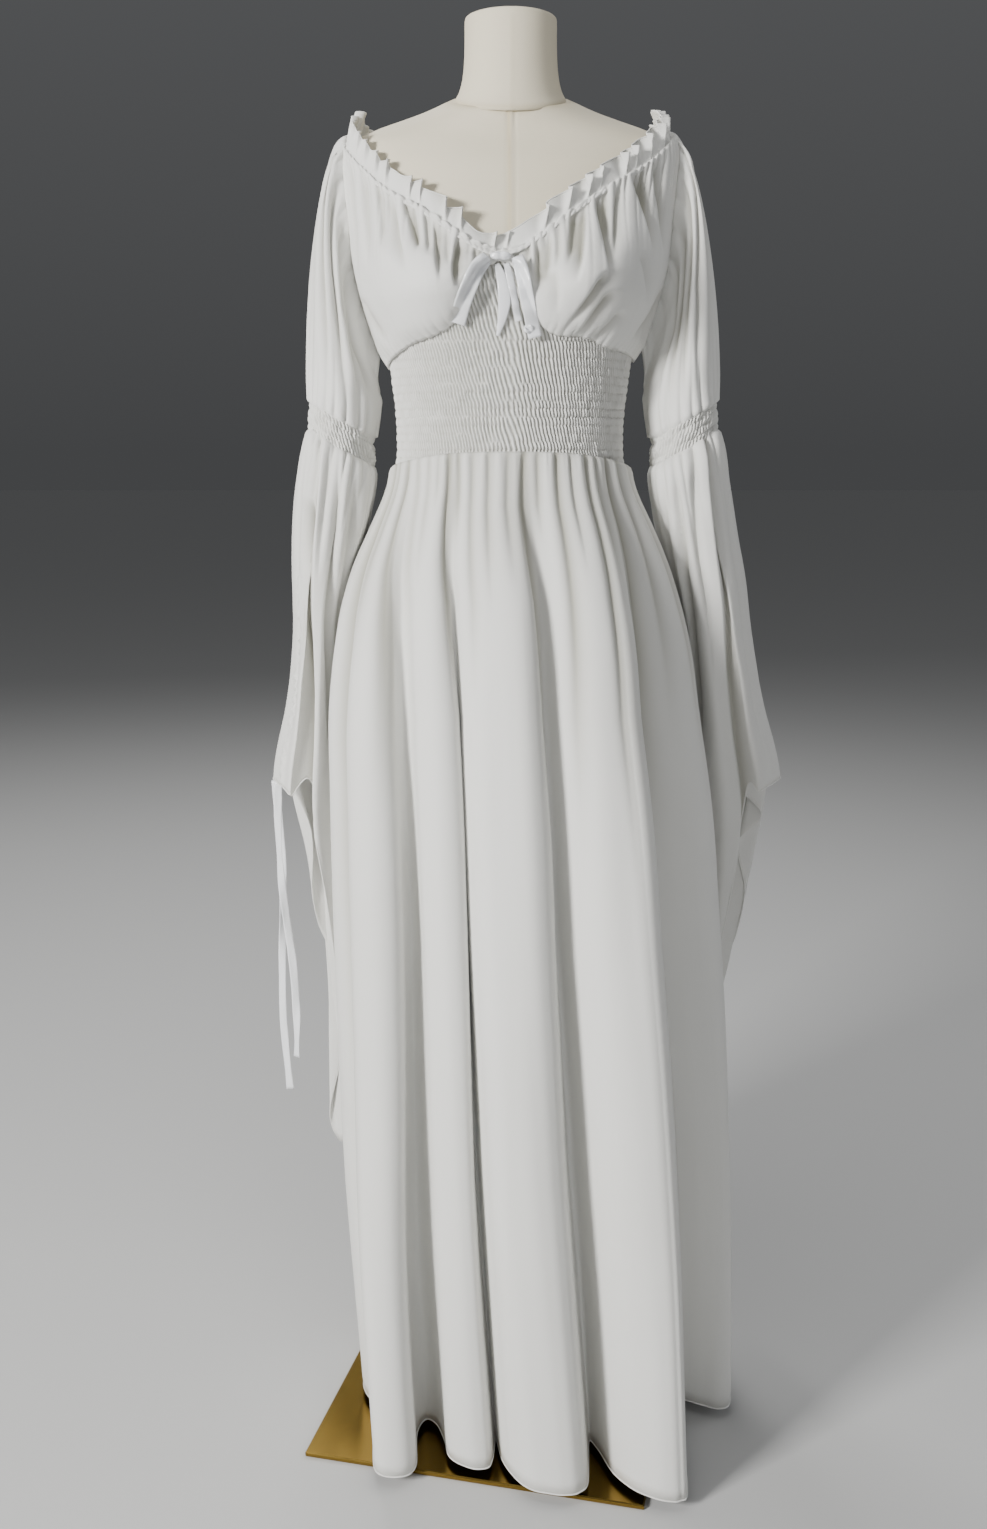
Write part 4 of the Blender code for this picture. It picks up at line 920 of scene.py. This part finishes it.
def sleeve_top(side, u):
    """The closed edge of an upper sleeve at places from 0 to 32: up the front raglan seam, over the
    shoulder and down the back raglan seam."""
    sign = MIRROR[side]
    rise_at = np.where(u < 12, 1 + u / 2, np.where(u > 20, 1 + (32 - u) / 2, 7.0))
    rise = along({"at": np.arange(8.0), "rise": PANEL_RISE}, "at", "rise", rise_at)
    front, back = side_seam(sign, False, rise), side_seam(sign, True, rise)
    over = sign * (90 - RAGLAN_TURN + 2 * RAGLAN_TURN * (u - 12) / 8)
    angle = np.where(u < 12, front, np.where(u > 20, back, over))
    low = seam_height(UNDERBUST_SEAM, sign * 90)
    corner = np.where(u < 12, front[np.argmin(np.abs(u - 12))], back[np.argmin(np.abs(u - 20))])
    seam = low + rise * (seam_height(NECKLINE, corner) - low)
    height = np.where((u < 12) | (u > 20), seam, seam_height(NECKLINE, angle) - RUFFLE_SEAM)
    return bodice_point(angle, height)


def elbow_ring(side, turn, drop):
    """The ring of the elbow band at a distance below its top edge; turn 0 is the inner side."""
    size = ELBOW[side]
    centre, radius = (size["outer"] + size["inner"]) / 2, (size["outer"] - size["inner"]) / 2
    level, tilt = (size["top_outer"] + size["top_inner"]) / 2, (size["top_outer"] - size["top_inner"]) / 2
    x = MIRROR[side] * (centre - radius * np.cos(turn))
    y = size["middle"] - size["depth"] * np.sin(turn)
    return np.stack(np.broadcast_arrays(x, y, level - tilt * np.cos(turn) - drop), axis=-1)


# Long folds of the upper sleeves: (share of the length, turn in degrees) points, depth, width, lean
UPPER_FOLDS = {
    "left": [
        ([(-0.02, 138), (0.55, 112), (0.98, 104)], 0.0062, 8, 0.5),
        ([(-0.02, 112), (0.45, 84), (0.98, 78)], 0.0070, 8, 0.5),
        ([(-0.02, 88), (0.50, 58), (0.98, 56)], 0.0062, 8, -0.4),
        ([(0.10, 160), (0.95, 140)], 0.0046, 10, 0.3),
        ([(-0.02, 60), (0.90, 30)], 0.0054, 9, 0.0),
        ([(0.05, 200), (0.95, 195)], 0.0052, 10, 0.4),
        ([(-0.02, 235), (0.92, 230)], 0.0060, 9, 0.0),
        ([(-0.02, 265), (0.92, 268)], 0.0060, 9, 0.4),
        ([(-0.02, 300), (0.92, 305)], 0.0054, 9, 0.0),
    ],
    "right": [
        ([(-0.02, 128), (0.50, 104), (0.98, 106)], 0.0066, 8, 0.5),
        ([(-0.02, 108), (0.50, 84), (0.98, 84)], 0.0074, 8, -0.5),
        ([(-0.02, 84), (0.40, 58), (0.98, 60)], 0.0068, 8, 0.5),
        ([(0.05, 150), (0.95, 132)], 0.0050, 10, 0.3),
        ([(-0.02, 60), (0.90, 32)], 0.0054, 9, 0.0),
        ([(0.05, 196), (0.95, 192)], 0.0052, 10, 0.4),
        ([(-0.02, 232), (0.92, 228)], 0.0060, 9, 0.0),
        ([(-0.02, 262), (0.92, 266)], 0.0060, 9, 0.4),
        ([(-0.02, 302), (0.92, 306)], 0.0054, 9, 0.0),
    ],
}


def make_upper_sleeve(side):
    """Each column leaves the neckline or the raglan seam outwards and falls to the elbow band along a
    cubic curve. Gathers stand out at both ends, and long folds run between them."""
    mirror, flip = MIRROR[side], side == "left"
    across, rows = 216, 60
    u = np.arange(across) * 32 / across
    turn = u * 2 * np.pi / 32
    degrees = np.degrees(turn)
    outer = (1 - np.cos(turn)) / 2
    leave = np.stack([mirror * (0.035 + 0.080 * outer), -0.085 * np.sin(turn), -0.17 + 0.18 * outer], -1)
    arrive = np.stack([mirror * (0.070 - 0.095 * outer), 0 * turn, -0.20 + 0 * turn], -1)
    t = np.linspace(0, 1, rows)[:, None, None]
    points = cubic(t, sleeve_top(side, u), leave, elbow_ring(side, turn, -BAND_SEAM), arrive)
    share = np.broadcast_to(t[..., 0], points.shape[:2])
    groove = grooves(degrees, share, UPPER_FOLDS[side], 360)
    low_wave = tubes(20 * turn / (2 * np.pi) + 0.40 * wander(63, u * 20 / 32, 20))
    high_wave = tubes(24 * turn / (2 * np.pi) + 0.40 * wander(65, u * 24 / 32, 24))
    low_fade = np.exp(-((1 - share) / (0.15 + 0.09 * wander(67, u * 20 / 32, 20))))
    gathers = 0.0052 * low_wave * low_fade + 0.0030 * high_wave * np.exp(-share / 0.12)
    soft = 0.0016 * uneven(61, degrees[None, :] / 30, share * 7, 12)
    ends = ease(share / 0.02) * ease((1 - share) / 0.02 + 0.3)
    out = normals(points, closed=True, flip=flip)
    points = points + out * ((gathers + soft - groove) * ends)[..., None]
    start = leave / np.linalg.norm(leave, axis=-1, keepdims=True)
    tuck = points[:1] - 0.004 * start - 0.0012 * out[:1]
    hang = points[-1:] + np.array([0.0, 0.0, -0.0016]) - 0.0012 * out[-1:]
    points = np.concatenate([tuck, points, hang])
    shade = (groove / 0.009) ** 1.5 + 0.35 * (1 - low_wave) ** 2 * low_fade
    shade = np.concatenate([shade[:1], shade, shade[-1:]])
    obj = cloth("upper_sleeve_" + side + "_cloth", points, closed=True, flip=flip, shade=shade)
    ride(obj, white_crepe, "white_cloth", "upper_sleeve_" + side)


def make_elbow_band(side):
    """The shirred band: four elastic rows with uneven puckers between them."""
    across, rows = 392, 25
    turn = ring_turns(across)
    away = np.stack([-MIRROR[side] * np.cos(turn), -np.sin(turn), 0 * turn], -1)
    share = np.linspace(0, 1, rows)[:, None]
    drop = share * (BAND_HEIGHT + 0.004) - 0.002
    turns = np.broadcast_to(turn / (2 * np.pi), (rows, across))
    relief = smocking(turns, share + 0 * turn, gathers=56, rows=4.0, seed=71)
    swell = SMOCKED_RELIEF * relief + 0.0022 * uneven(73, turn[None, :] / (2 * np.pi) * 26, share * 4, 26)
    outer = elbow_ring(side, turn, drop) + away * (swell - 0.0004)[..., None]
    inner = elbow_ring(side, turn, drop[[0, rows // 2, rows - 1]]) - away * 0.0010
    shade = 0.55 * (1 - relief) ** 2
    obj = lined_tube("elbow_band_" + side + "_shirring", outer, inner, side == "left", shade)
    ride(obj, white_crepe, "white_cloth", "elbow_band_" + side)


# Long folds of the bell sleeves: (drop, turn in degrees) points, depth, width, lean
LOWER_FOLDS = {
    "left": [
        ([(-0.020, 92), (0.066, 72), (0.147, 50), (0.256, 20), (0.470, 8)], 0.0120, 9, 0.5),
        ([(-0.080, 124), (0.020, 118), (0.078, 110), (0.160, 98), (0.255, 84), (0.400, 76), (0.800, 70)],
         0.0130, 15, 0.85),
        ([(0.060, 112), (0.160, 97), (0.255, 83), (0.400, 75), (0.800, 69)], 0.0050, 3.0, 0.5),
        ([(0.062, 126), (0.098, 118), (0.150, 108)], 0.0150, 8, 0.6),
        ([(-0.010, 62), (0.080, 38), (0.205, 8), (0.360, -6)], 0.0070, 8, 0.3),
        ([(-0.010, 103), (0.065, 95), (0.145, 84)], 0.0056, 6, 0.0),
        ([(-0.010, 150), (0.200, 148), (0.390, 132)], 0.0036, 6, 0.0),
        ([(0.000, 205), (0.400, 208)], 0.0070, 10, 0.0),
        ([(0.000, 260), (0.780, 262)], 0.0090, 10, 0.4),
        ([(0.000, 305), (0.820, 306)], 0.0090, 10, 0.0),
    ],
    "right": [
        ([(-0.020, 99), (0.030, 90), (0.110, 76), (0.260, 62)], 0.0080, 8, 0.0),
        ([(-0.120, 132), (0.000, 121), (0.078, 112), (0.160, 101), (0.235, 93), (0.480, 88), (0.800, 88)],
         0.0110, 11, 0.85),
        ([(-0.120, 131), (0.000, 120), (0.078, 111), (0.160, 100), (0.235, 92), (0.480, 87), (0.800, 87)],
         0.0050, 3.0, 0.5),
        ([(-0.010, 68), (0.060, 54), (0.180, 27), (0.420, 8)], 0.0110, 9, 0.5),
        ([(-0.010, 42), (0.140, 14), (0.320, -10)], 0.0060, 8, 0.0),
        ([(0.000, 150), (0.160, 142), (0.390, 140)], 0.0036, 7, 0.0),
        ([(0.000, 205), (0.400, 208)], 0.0070, 10, 0.0),
        ([(0.000, 258), (0.780, 262)], 0.0090, 10, 0.4),
        ([(0.000, 305), (0.820, 306)], 0.0090, 10, 0.0),
    ],
}


def lower_sleeve_points(side, share, degrees):
    """The bell sleeve: rings by their drop below the band, flat in front, cut off at a hem that is short
    in front and long at the back. Each fold of the back is a bell round the ring. Returns the points and
    their drops."""
    mirror, turn = MIRROR[side], np.radians(degrees)
    sine, cosine = np.sin(turn), np.cos(turn)
    drop = share * along(SLEEVE_HEM[side], "angle", "drop", degrees)
    outer, inner, front, back = (along(LOWER_SLEEVE[side], "drop", name, drop)
                                 for name in ("outer", "inner", "front", "back"))
    grown = np.clip(drop / 0.3, 0, 1)
    swell = grown * sum(depth * bell(wrapped(degrees - angle), width) for angle, width, depth in SLEEVE_FOLDS)
    waves = along(SLEEVE_WAVES[side], "angle", "out", degrees) * ease((drop - 0.24) / 0.20)
    wide = (outer - inner) / 2 + (swell - 0.003 * grown) * (1 - cosine) / 2
    x = mirror * ((outer + inner) / 2 - wide * cosine + waves)
    y = (front + back) / 2 - (back - front) / 2 * np.sign(sine) * np.abs(sine) ** 0.62 - sine * swell
    z = elbow_ring(side, turn, BAND_HEIGHT)[:, 2] - drop
    return np.stack([x, y, z], axis=-1), drop


def make_lower_sleeve(side):
    """Gathers fade below the band, long folds run down, and the left sleeve's drawstring casing is
    ruched along its outer front. Returns the points of the hem."""
    flip = side == "left"
    across, rows = 192, 84
    degrees = np.degrees(ring_turns(across))
    share = np.broadcast_to(np.linspace(0, 1, rows)[:, None] ** 1.15, (rows, across))
    points, drop = lower_sleeve_points(side, share, degrees)
    groove = grooves(degrees, drop, LOWER_FOLDS[side], 360)
    cell = degrees / 360 * 18
    wave = tubes(cell + 0.40 * wander(85, cell, 18))
    fade = np.exp(-drop / (0.048 + 0.027 * wander(87, cell, 18)))
    soft = 0.0020 * uneven(81, degrees[None, :] / 24, drop * 15, 15) * ease(drop / 0.05)
    casing = bell(degrees - 146, 9.0) * ease((drop - 0.10) / 0.08) * CASING_DEPTH[side]
    ruching = casing * (0.0026 * uneven(83, degrees[None, :] / 9, drop * 150, 40)
                        + 0.0018 * np.sin(2 * np.pi * drop * 120 + degrees / 6))
    out = normals(points, closed=True, flip=flip)
    swell = (0.0050 * wave * fade + soft - groove + ruching) * ease(share / 0.010)
    points = points + out * swell[..., None]
    tuck = points[:1] + np.array([0.0, 0.0, 0.0018]) - 0.0014 * out[:1]
    points = np.concatenate([tuck, points])
    edge_tone_and_seam_shade = doubled_top(0.30 * bell(1 - share, 0.006))
    shade = doubled_top(0.7 * (groove / 0.014) ** 1.8 + 0.50 * (1 - wave) ** 2 * fade)
    obj = cloth("lower_sleeve_" + side + "_cloth", points, True, flip, CLOTH, edge_tone_and_seam_shade, shade)
    ride(obj, white_crepe, "white_cloth", "lower_sleeve_" + side)
    edge = rounded_strand("lower_sleeve_" + side + "_hem", points[-1], 0.0008, closed=True)
    ride(edge, white_crepe, "white_cloth")
    return points[-1]


# Skirt

def flute_place(angle):
    """Number of the flute that an angle at the waist is in, and its share of the way through it."""
    ends = VALLEY_ANGLES[:, 0]
    starts = np.concatenate([[ends[-1] - 360], ends[:-1]])
    angle = (angle + 90) % 360 - 90
    k = np.clip(np.searchsorted(ends, angle, side="left"), 0, len(ends) - 1)
    return k, (angle - starts[k]) / (ends[k] - starts[k])


def hem_curve(k, t):
    """The hem seen from above: round flutes between valleys that are sharp or soft, and in front the
    drawn curve."""
    valley = np.stack([FLUTES["valley_x"], FLUTES["valley_y"]], -1)
    crest = np.stack([FLUTES["crest_x"], FLUTES["crest_y"]], -1)
    before = np.roll(valley, 1, axis=0)
    hump = (1 - np.cos(2 * np.pi * t)) / 2
    sharp = np.roll(FLUTES["sharp"], 1)[k] * (1 - t) + FLUTES["sharp"][k] * t
    rise = ((1 - sharp) * hump + sharp * np.sin(np.pi * t))[:, None]
    across = (t - 0.16 * sharp * np.sin(2 * np.pi * t))[:, None]
    line = before[k] * (1 - across) + valley[k] * across
    plain = line + (crest[k] - (before[k] + valley[k]) / 2) * rise
    drawn = np.stack([along(HEM_FRONT, "place", name, k + t) for name in ("x", "y")], -1)
    return np.where(((k >= 1) & (k <= 5))[:, None], drawn, plain)


def skirt_points(angle, share):
    """Rings from the waist to the hem. Each column keeps its share of its flute, and the flute's
    valleys wander sideways on the way down; the flutes grow with the drop. Returns the points and each
    column's share of its flute."""
    k, t = flute_place(angle)
    names = ("left", "right", "front", "back")
    top = seam_height(WAIST_SEAM, angle) - SEAM
    height = top + share * (HEM - top)
    track = np.stack([np.interp(height[:, 0], VALLEY_HEIGHTS[::-1], row[::-1]) for row in VALLEY_ANGLES])
    before = np.roll(track, 1, axis=0)
    before[0] -= 360
    turned = (before[k] * (1 - t)[:, None] + track[k] * t[:, None]).T
    flute = hem_curve(k, t) - np.stack(oval(turned[-1], *(SKIRT[name][0] for name in names)), -1)
    x, y = oval(turned, *(along(SKIRT, "height", name, height) for name in names))
    grown = share**0.85
    return np.stack([x + flute[:, 0] * grown, y + flute[:, 1] * grown, height], -1), t


def make_skirt():
    """The front and back panels, parted at the side seams, with gathers under the waist, creases that
    run down and round folds between the main valleys."""
    gap = np.degrees(SEAM / 0.15)
    s = np.linspace(0, 1, 104)[:, None] ** 1.3
    panels = (("skirt_front", -90.0, 320, (1.25, 1.10), 0.97), ("skirt_back", 90.0, 204, (1.10, 1.10), 0.83))
    for name, start, across, flat, area in panels:
        angle = start + np.linspace(0, 180, across)
        angle[0] += gap / 2
        angle[-1] -= gap / 2
        points, t = skirt_points(angle, s)
        valley = np.zeros(points.shape[:2])
        for place, depth, width, reach in SKIRT_CREASES:
            run = 1 - ease((s / reach - 0.35) / 0.65)
            shape = cusp(wrapped(angle - place), width * (1 + 0.9 * s), 0.30, 0.3 * width)
            valley = valley + depth * (1 - 0.4 * s) * run * shape
        tube = 0.0110 * np.abs(np.sin(np.pi * t**1.8)) ** 0.7 * ease(s / 0.20) * (1 - ease((s - 0.3) / 0.6))
        fine = tubes(angle / 3.4 + 0.40 * wander(91, angle / 4.0))
        gathers = 0.0016 * fine * np.exp(-s / 0.012) + 0.0032 * np.exp(-s / 0.040)
        soft = 0.0022 * uneven(95, angle / 8.0, s * 3.0) * ease(s / 0.2)
        seam = 0.0008 * (bell(angle - angle[0], 0.8) + bell(angle - angle[-1], 0.8))
        swell = ((tube + gathers + soft - valley) * ease(s / 0.004) - seam) * ease((1 - s) / 0.02 + 0.35)
        out = normals(points)
        points = points + out * swell[..., None]
        points = np.concatenate([points[:1] - 0.002 * out[:1], points])
        edge_tone_and_seam_shade = doubled_top(0.30 * bell(1 - s, 0.004) + 0 * angle)
        shade = doubled_top(np.clip(valley / 0.0060, 0, 1) ** 1.5 * (1.0 - 0.5 * s))
        obj = cloth(name + "_cloth", points, edge_tone_and_seam_shade=edge_tone_and_seam_shade, shade=shade)
        ride(obj, white_crepe, "white_cloth", name)
        edge = rounded_strand(name + "_hem", points[-1], 0.0008)
        ride(edge, white_crepe, "white_cloth")


# Ribbons

def on_front(x, height, out):
    """Points in front of the bodice or the midriff, from arrays of places across and heights: the angle
    is found by eight steps of the secant rule on the place across."""
    x, height = np.broadcast_arrays(np.asarray(x, float), np.asarray(height, float))

    def at(angle):
        """The body's point at an angle, on the bodice above its seam and on the midriff below it."""
        above = height >= seam_height(UNDERBUST_SEAM, angle)
        stand = np.where(above, blouse(angle, height), SMOCKED_CLOTH + FORM_CLEARANCE)
        return body_point(angle, height, stand + out)

    angle = np.degrees(np.arcsin(np.clip(x / 0.13, -0.9, 0.9)))
    for _ in range(8):
        reached = at(angle)[..., 0]
        slope = (at(angle + 0.5)[..., 0] - reached) / 0.5
        angle = angle + np.clip((x - reached) / slope, -4, 4)
    return np.stack([x, at(angle)[..., 1], height], -1)


def smooth_route(route, count):
    """More points on a smooth curve through a few."""
    table = {"at": np.arange(len(route), dtype=float)}
    table.update(enumerate(np.array(route, float).T))
    at = np.linspace(0, len(route) - 1, count)
    return np.stack([along(table, "at", k, at) for k in range(len(route[0]))], -1)


def bow_strip(part):
    """A ribbon of the bow: a strip along its route on the cloth, lifted in an arch and cupped across."""
    route = smooth_route(part["route"], 40)
    t = np.linspace(0, 1, 40)
    ahead = np.gradient(route, axis=0)
    ahead = ahead / np.linalg.norm(ahead, axis=1, keepdims=True)
    half = part["width"] / 2 * np.interp(t, np.linspace(0, 1, 6), part["taper"])
    sideways = np.stack([-ahead[:, 1], ahead[:, 0]], -1) * half[:, None]
    across = np.linspace(1, -1, 9)
    spots = route[:, None] + across[:, None] * sideways[:, None]
    points = on_front(spots[..., 0], spots[..., 1], part["out"] + 0.001)
    lift = part["lift"] * np.sin(np.pi * t) ** 1.5 + part["ripple"] * np.sin(2 * np.pi * 3.2 * t)
    bulge = part["cup"] * (1 - across**2) * ease(t / 0.3)[:, None]
    twist = part["twist"] * across * np.sin(np.pi * t)[:, None]
    points[..., 1] -= np.maximum(lift, 0)[:, None] + bulge + twist
    return points


def bow_knot_rings():
    """The knot, a pinched wrap of ribbon: an ellipsoid whose radius is narrow in its middle and ripples
    round it."""
    x, z = BOW_KNOT["x"], BOW_KNOT["height"]
    behind = on_front(x + np.array([-0.01, 0.0, 0.01])[:, None], z + np.array([-0.004, 0.0, 0.004]), 0.0)
    middle = behind[..., 1].min() - BOW_KNOT["depth"] / 2 - SEAM
    reach = np.linspace(-1, 1, 40)[:, None]
    turn = ring_turns(36)
    radius = np.sqrt(np.clip(1 - reach**2, 0.0004, 1)) * (1 - 0.22 * bell(reach, 0.25))
    radius = radius * (1 + 0.07 * np.cos(5 * turn + 4 * reach))
    return np.stack([
        x + BOW_KNOT["width"] / 2 * reach + 0 * turn,
        middle - BOW_KNOT["depth"] / 2 * radius * np.cos(turn),
        z + BOW_KNOT["tall"] / 2 * radius * np.sin(turn)], -1)


def make_bow():
    """Four ribbons, the knot between them, and a small knot at the right ribbon's end: a round strand
    in a figure of eight."""
    strips = {}
    for name, part in BOW_RIBBONS.items():
        strips[name] = cloth(name + "_satin", bow_strip(part), thickness=SATIN)
        ride(strips[name], white_satin, "white_satin", name)
    knot = put_grid("bow_knot_satin", bow_knot_rings(), ends="capped")
    ride(knot, white_satin, "white_satin", "bow_knot")
    turn, size = ring_turns(24), BOW_END_KNOT["size"]
    loop = np.stack([size * np.cos(turn), -0.4 * size * np.sin(2 * turn), 0.8 * size * np.sin(turn)], -1)
    loop = on_front(*BOW_END_KNOT["place"], BOW_END_KNOT["out"]) + loop
    end_knot = rounded_strand("bow_end_knot", loop, BOW_END_KNOT["strand"], closed=True)
    ride(end_knot, white_satin, "white_satin")
    narrow = strips.pop("bow_loop_right")
    for name, strip in strips.items():
        part = BOW_RIBBONS[name]


def make_sleeve_ribbons(hem):
    """The drawstring's two free ends: strips that turn slowly about their length as they hang."""
    turns = np.degrees(ring_turns(len(hem)))
    t = np.linspace(0, 1, 90)
    across = np.linspace(1, -1, 7)
    for name, part in SLEEVE_RIBBONS.items():
        x, y, z = (np.interp(part["turn"], turns, hem[:, k]) for k in range(3))
        route = np.stack([
            x + part["drift"][0] * t + part["sway"] * np.sin(2 * np.pi * t),
            y + part["drift"][1] * t,
            z - 3 * SEAM - part["length"] * t], -1)
        turn = 0.5 * np.sin(2 * np.pi * 1.3 * t + part["turn"]) + 0.3 * np.sin(2 * np.pi * 2.9 * t)
        half = np.stack([np.cos(turn), np.sin(turn), 0 * turn], -1) * SLEEVE_RIBBON_WIDTH / 2
        strip = route[:, None] - across[:, None] * half[:, None]
        strip[..., 1] += 0.0006 * np.sin(2 * np.pi * 5 * t)[:, None] * (1 - across**2)
        obj = cloth(name + "_satin", strip, thickness=SATIN)
        ride(obj, white_satin, "white_satin", name)


# Floor, studio, lights and camera

FLOOR_REACH = 40
FLOOR_COLOUR = (0.50, 0.50, 0.495, 1.0)
SKY_COLOUR = (0.95, 0.97, 1.0, 1.0)
HORIZON_STRENGTH = 0.066
OVERHEAD_GAIN = 1.5
WHITE, COOL, WARM = (1.0, 1.0, 1.0), (0.97, 0.98, 1.0), (1.0, 0.99, 0.97)
LIGHTS = {
    "key_light": dict(place=(-2.2, -2.15, 1.7), aim=0.7, size=0.7, watts=172.0, colour=WARM),
    "front_light": dict(place=(0.9, -2.9, 1.5), aim=0.8, size=1.0, watts=14.0, colour=COOL),
    "top_light": dict(place=(-0.2, -0.8, 3.0), aim=1.1, size=1.0, watts=12.0, colour=WHITE),
    "right_light": dict(place=(2.6, 0.6, 1.5), aim=0.9, size=1.4, watts=14.0, colour=COOL),
    "back_light": dict(place=(-0.6, 2.4, 3.3), aim=0.7, size=1.2, watts=70.0, colour=WHITE),
}
CAMERA = dict(place=(-0.0172, -1.583, 1.10), tilt=77.9, lens=34.54, frame_height=36.0)


def make_floor():
    """A plain pale floor."""
    mesh = bpy.data.meshes.new("floor")
    corners = [(x * FLOOR_REACH, y * FLOOR_REACH, 0) for x, y in ((-1, -1), (1, -1), (1, 1), (-1, 1))]
    mesh.from_pydata(corners, [], [(0, 1, 2, 3)])
    mesh.update()
    material, tree, shader = new_material("pale_floor")
    feed(tree, shader, {"Base Color": FLOOR_COLOUR, "Roughness": 0.9})
    mesh.materials.append(material)
    add_object("floor", mesh)


def make_studio():
    """A studio that is dim at the horizon, where the floor ends, and brighter overhead:
    strength = horizon * (1 + gain * height of the direction)."""
    world = bpy.data.worlds.new("studio")
    world.use_nodes = True
    tree = world.node_tree
    parts = shader_node(tree, "SeparateXYZ", {0: shader_node(tree, "TexCoord")["Generated"]})
    height = maths(tree, "MAXIMUM", parts[2], 0.0)
    strength = maths(tree, "MULTIPLY_ADD", height, OVERHEAD_GAIN * HORIZON_STRENGTH, HORIZON_STRENGTH)
    feed(tree, tree.nodes["Background"], {"Color": SKY_COLOUR, "Strength": strength})
    bpy.context.scene.world = world


def make_light(name, place, aim, size, watts, colour):
    """A square area light that points from its place at a height on the middle line."""
    light = bpy.data.lights.new(name, "AREA")
    light.size = size
    light.energy = watts
    light.color = colour
    obj = add_object(name, light)
    x, y, z = -place[0], -place[1], aim - place[2]
    obj.location = place
    obj.rotation_euler = (math.atan2(math.hypot(x, y), -z), 0.0, math.atan2(-x, y))


def make_camera():
    """A camera in front of the dress that looks a little down on it."""
    lens = bpy.data.cameras.new("camera")
    lens.sensor_fit = "VERTICAL"
    lens.sensor_height = CAMERA["frame_height"]
    lens.lens = CAMERA["lens"]
    camera = add_object("camera", lens)
    camera.location = CAMERA["place"]
    camera.rotation_euler = (math.radians(CAMERA["tilt"]), 0.0, 0.0)
    bpy.context.scene.camera = camera


make_camera()
for light_name, light_facts in LIGHTS.items():
    make_light(light_name, **light_facts)
make_studio()
make_form()
make_midriff()
make_bodice()
make_ruffle()
hems = {}
for sleeve in ("left", "right"):
    make_upper_sleeve(sleeve)
    make_elbow_band(sleeve)
    hems[sleeve] = make_lower_sleeve(sleeve)
make_skirt()
make_bow()
make_sleeve_ribbons(hems["left"])
finish_stand()
make_floor()
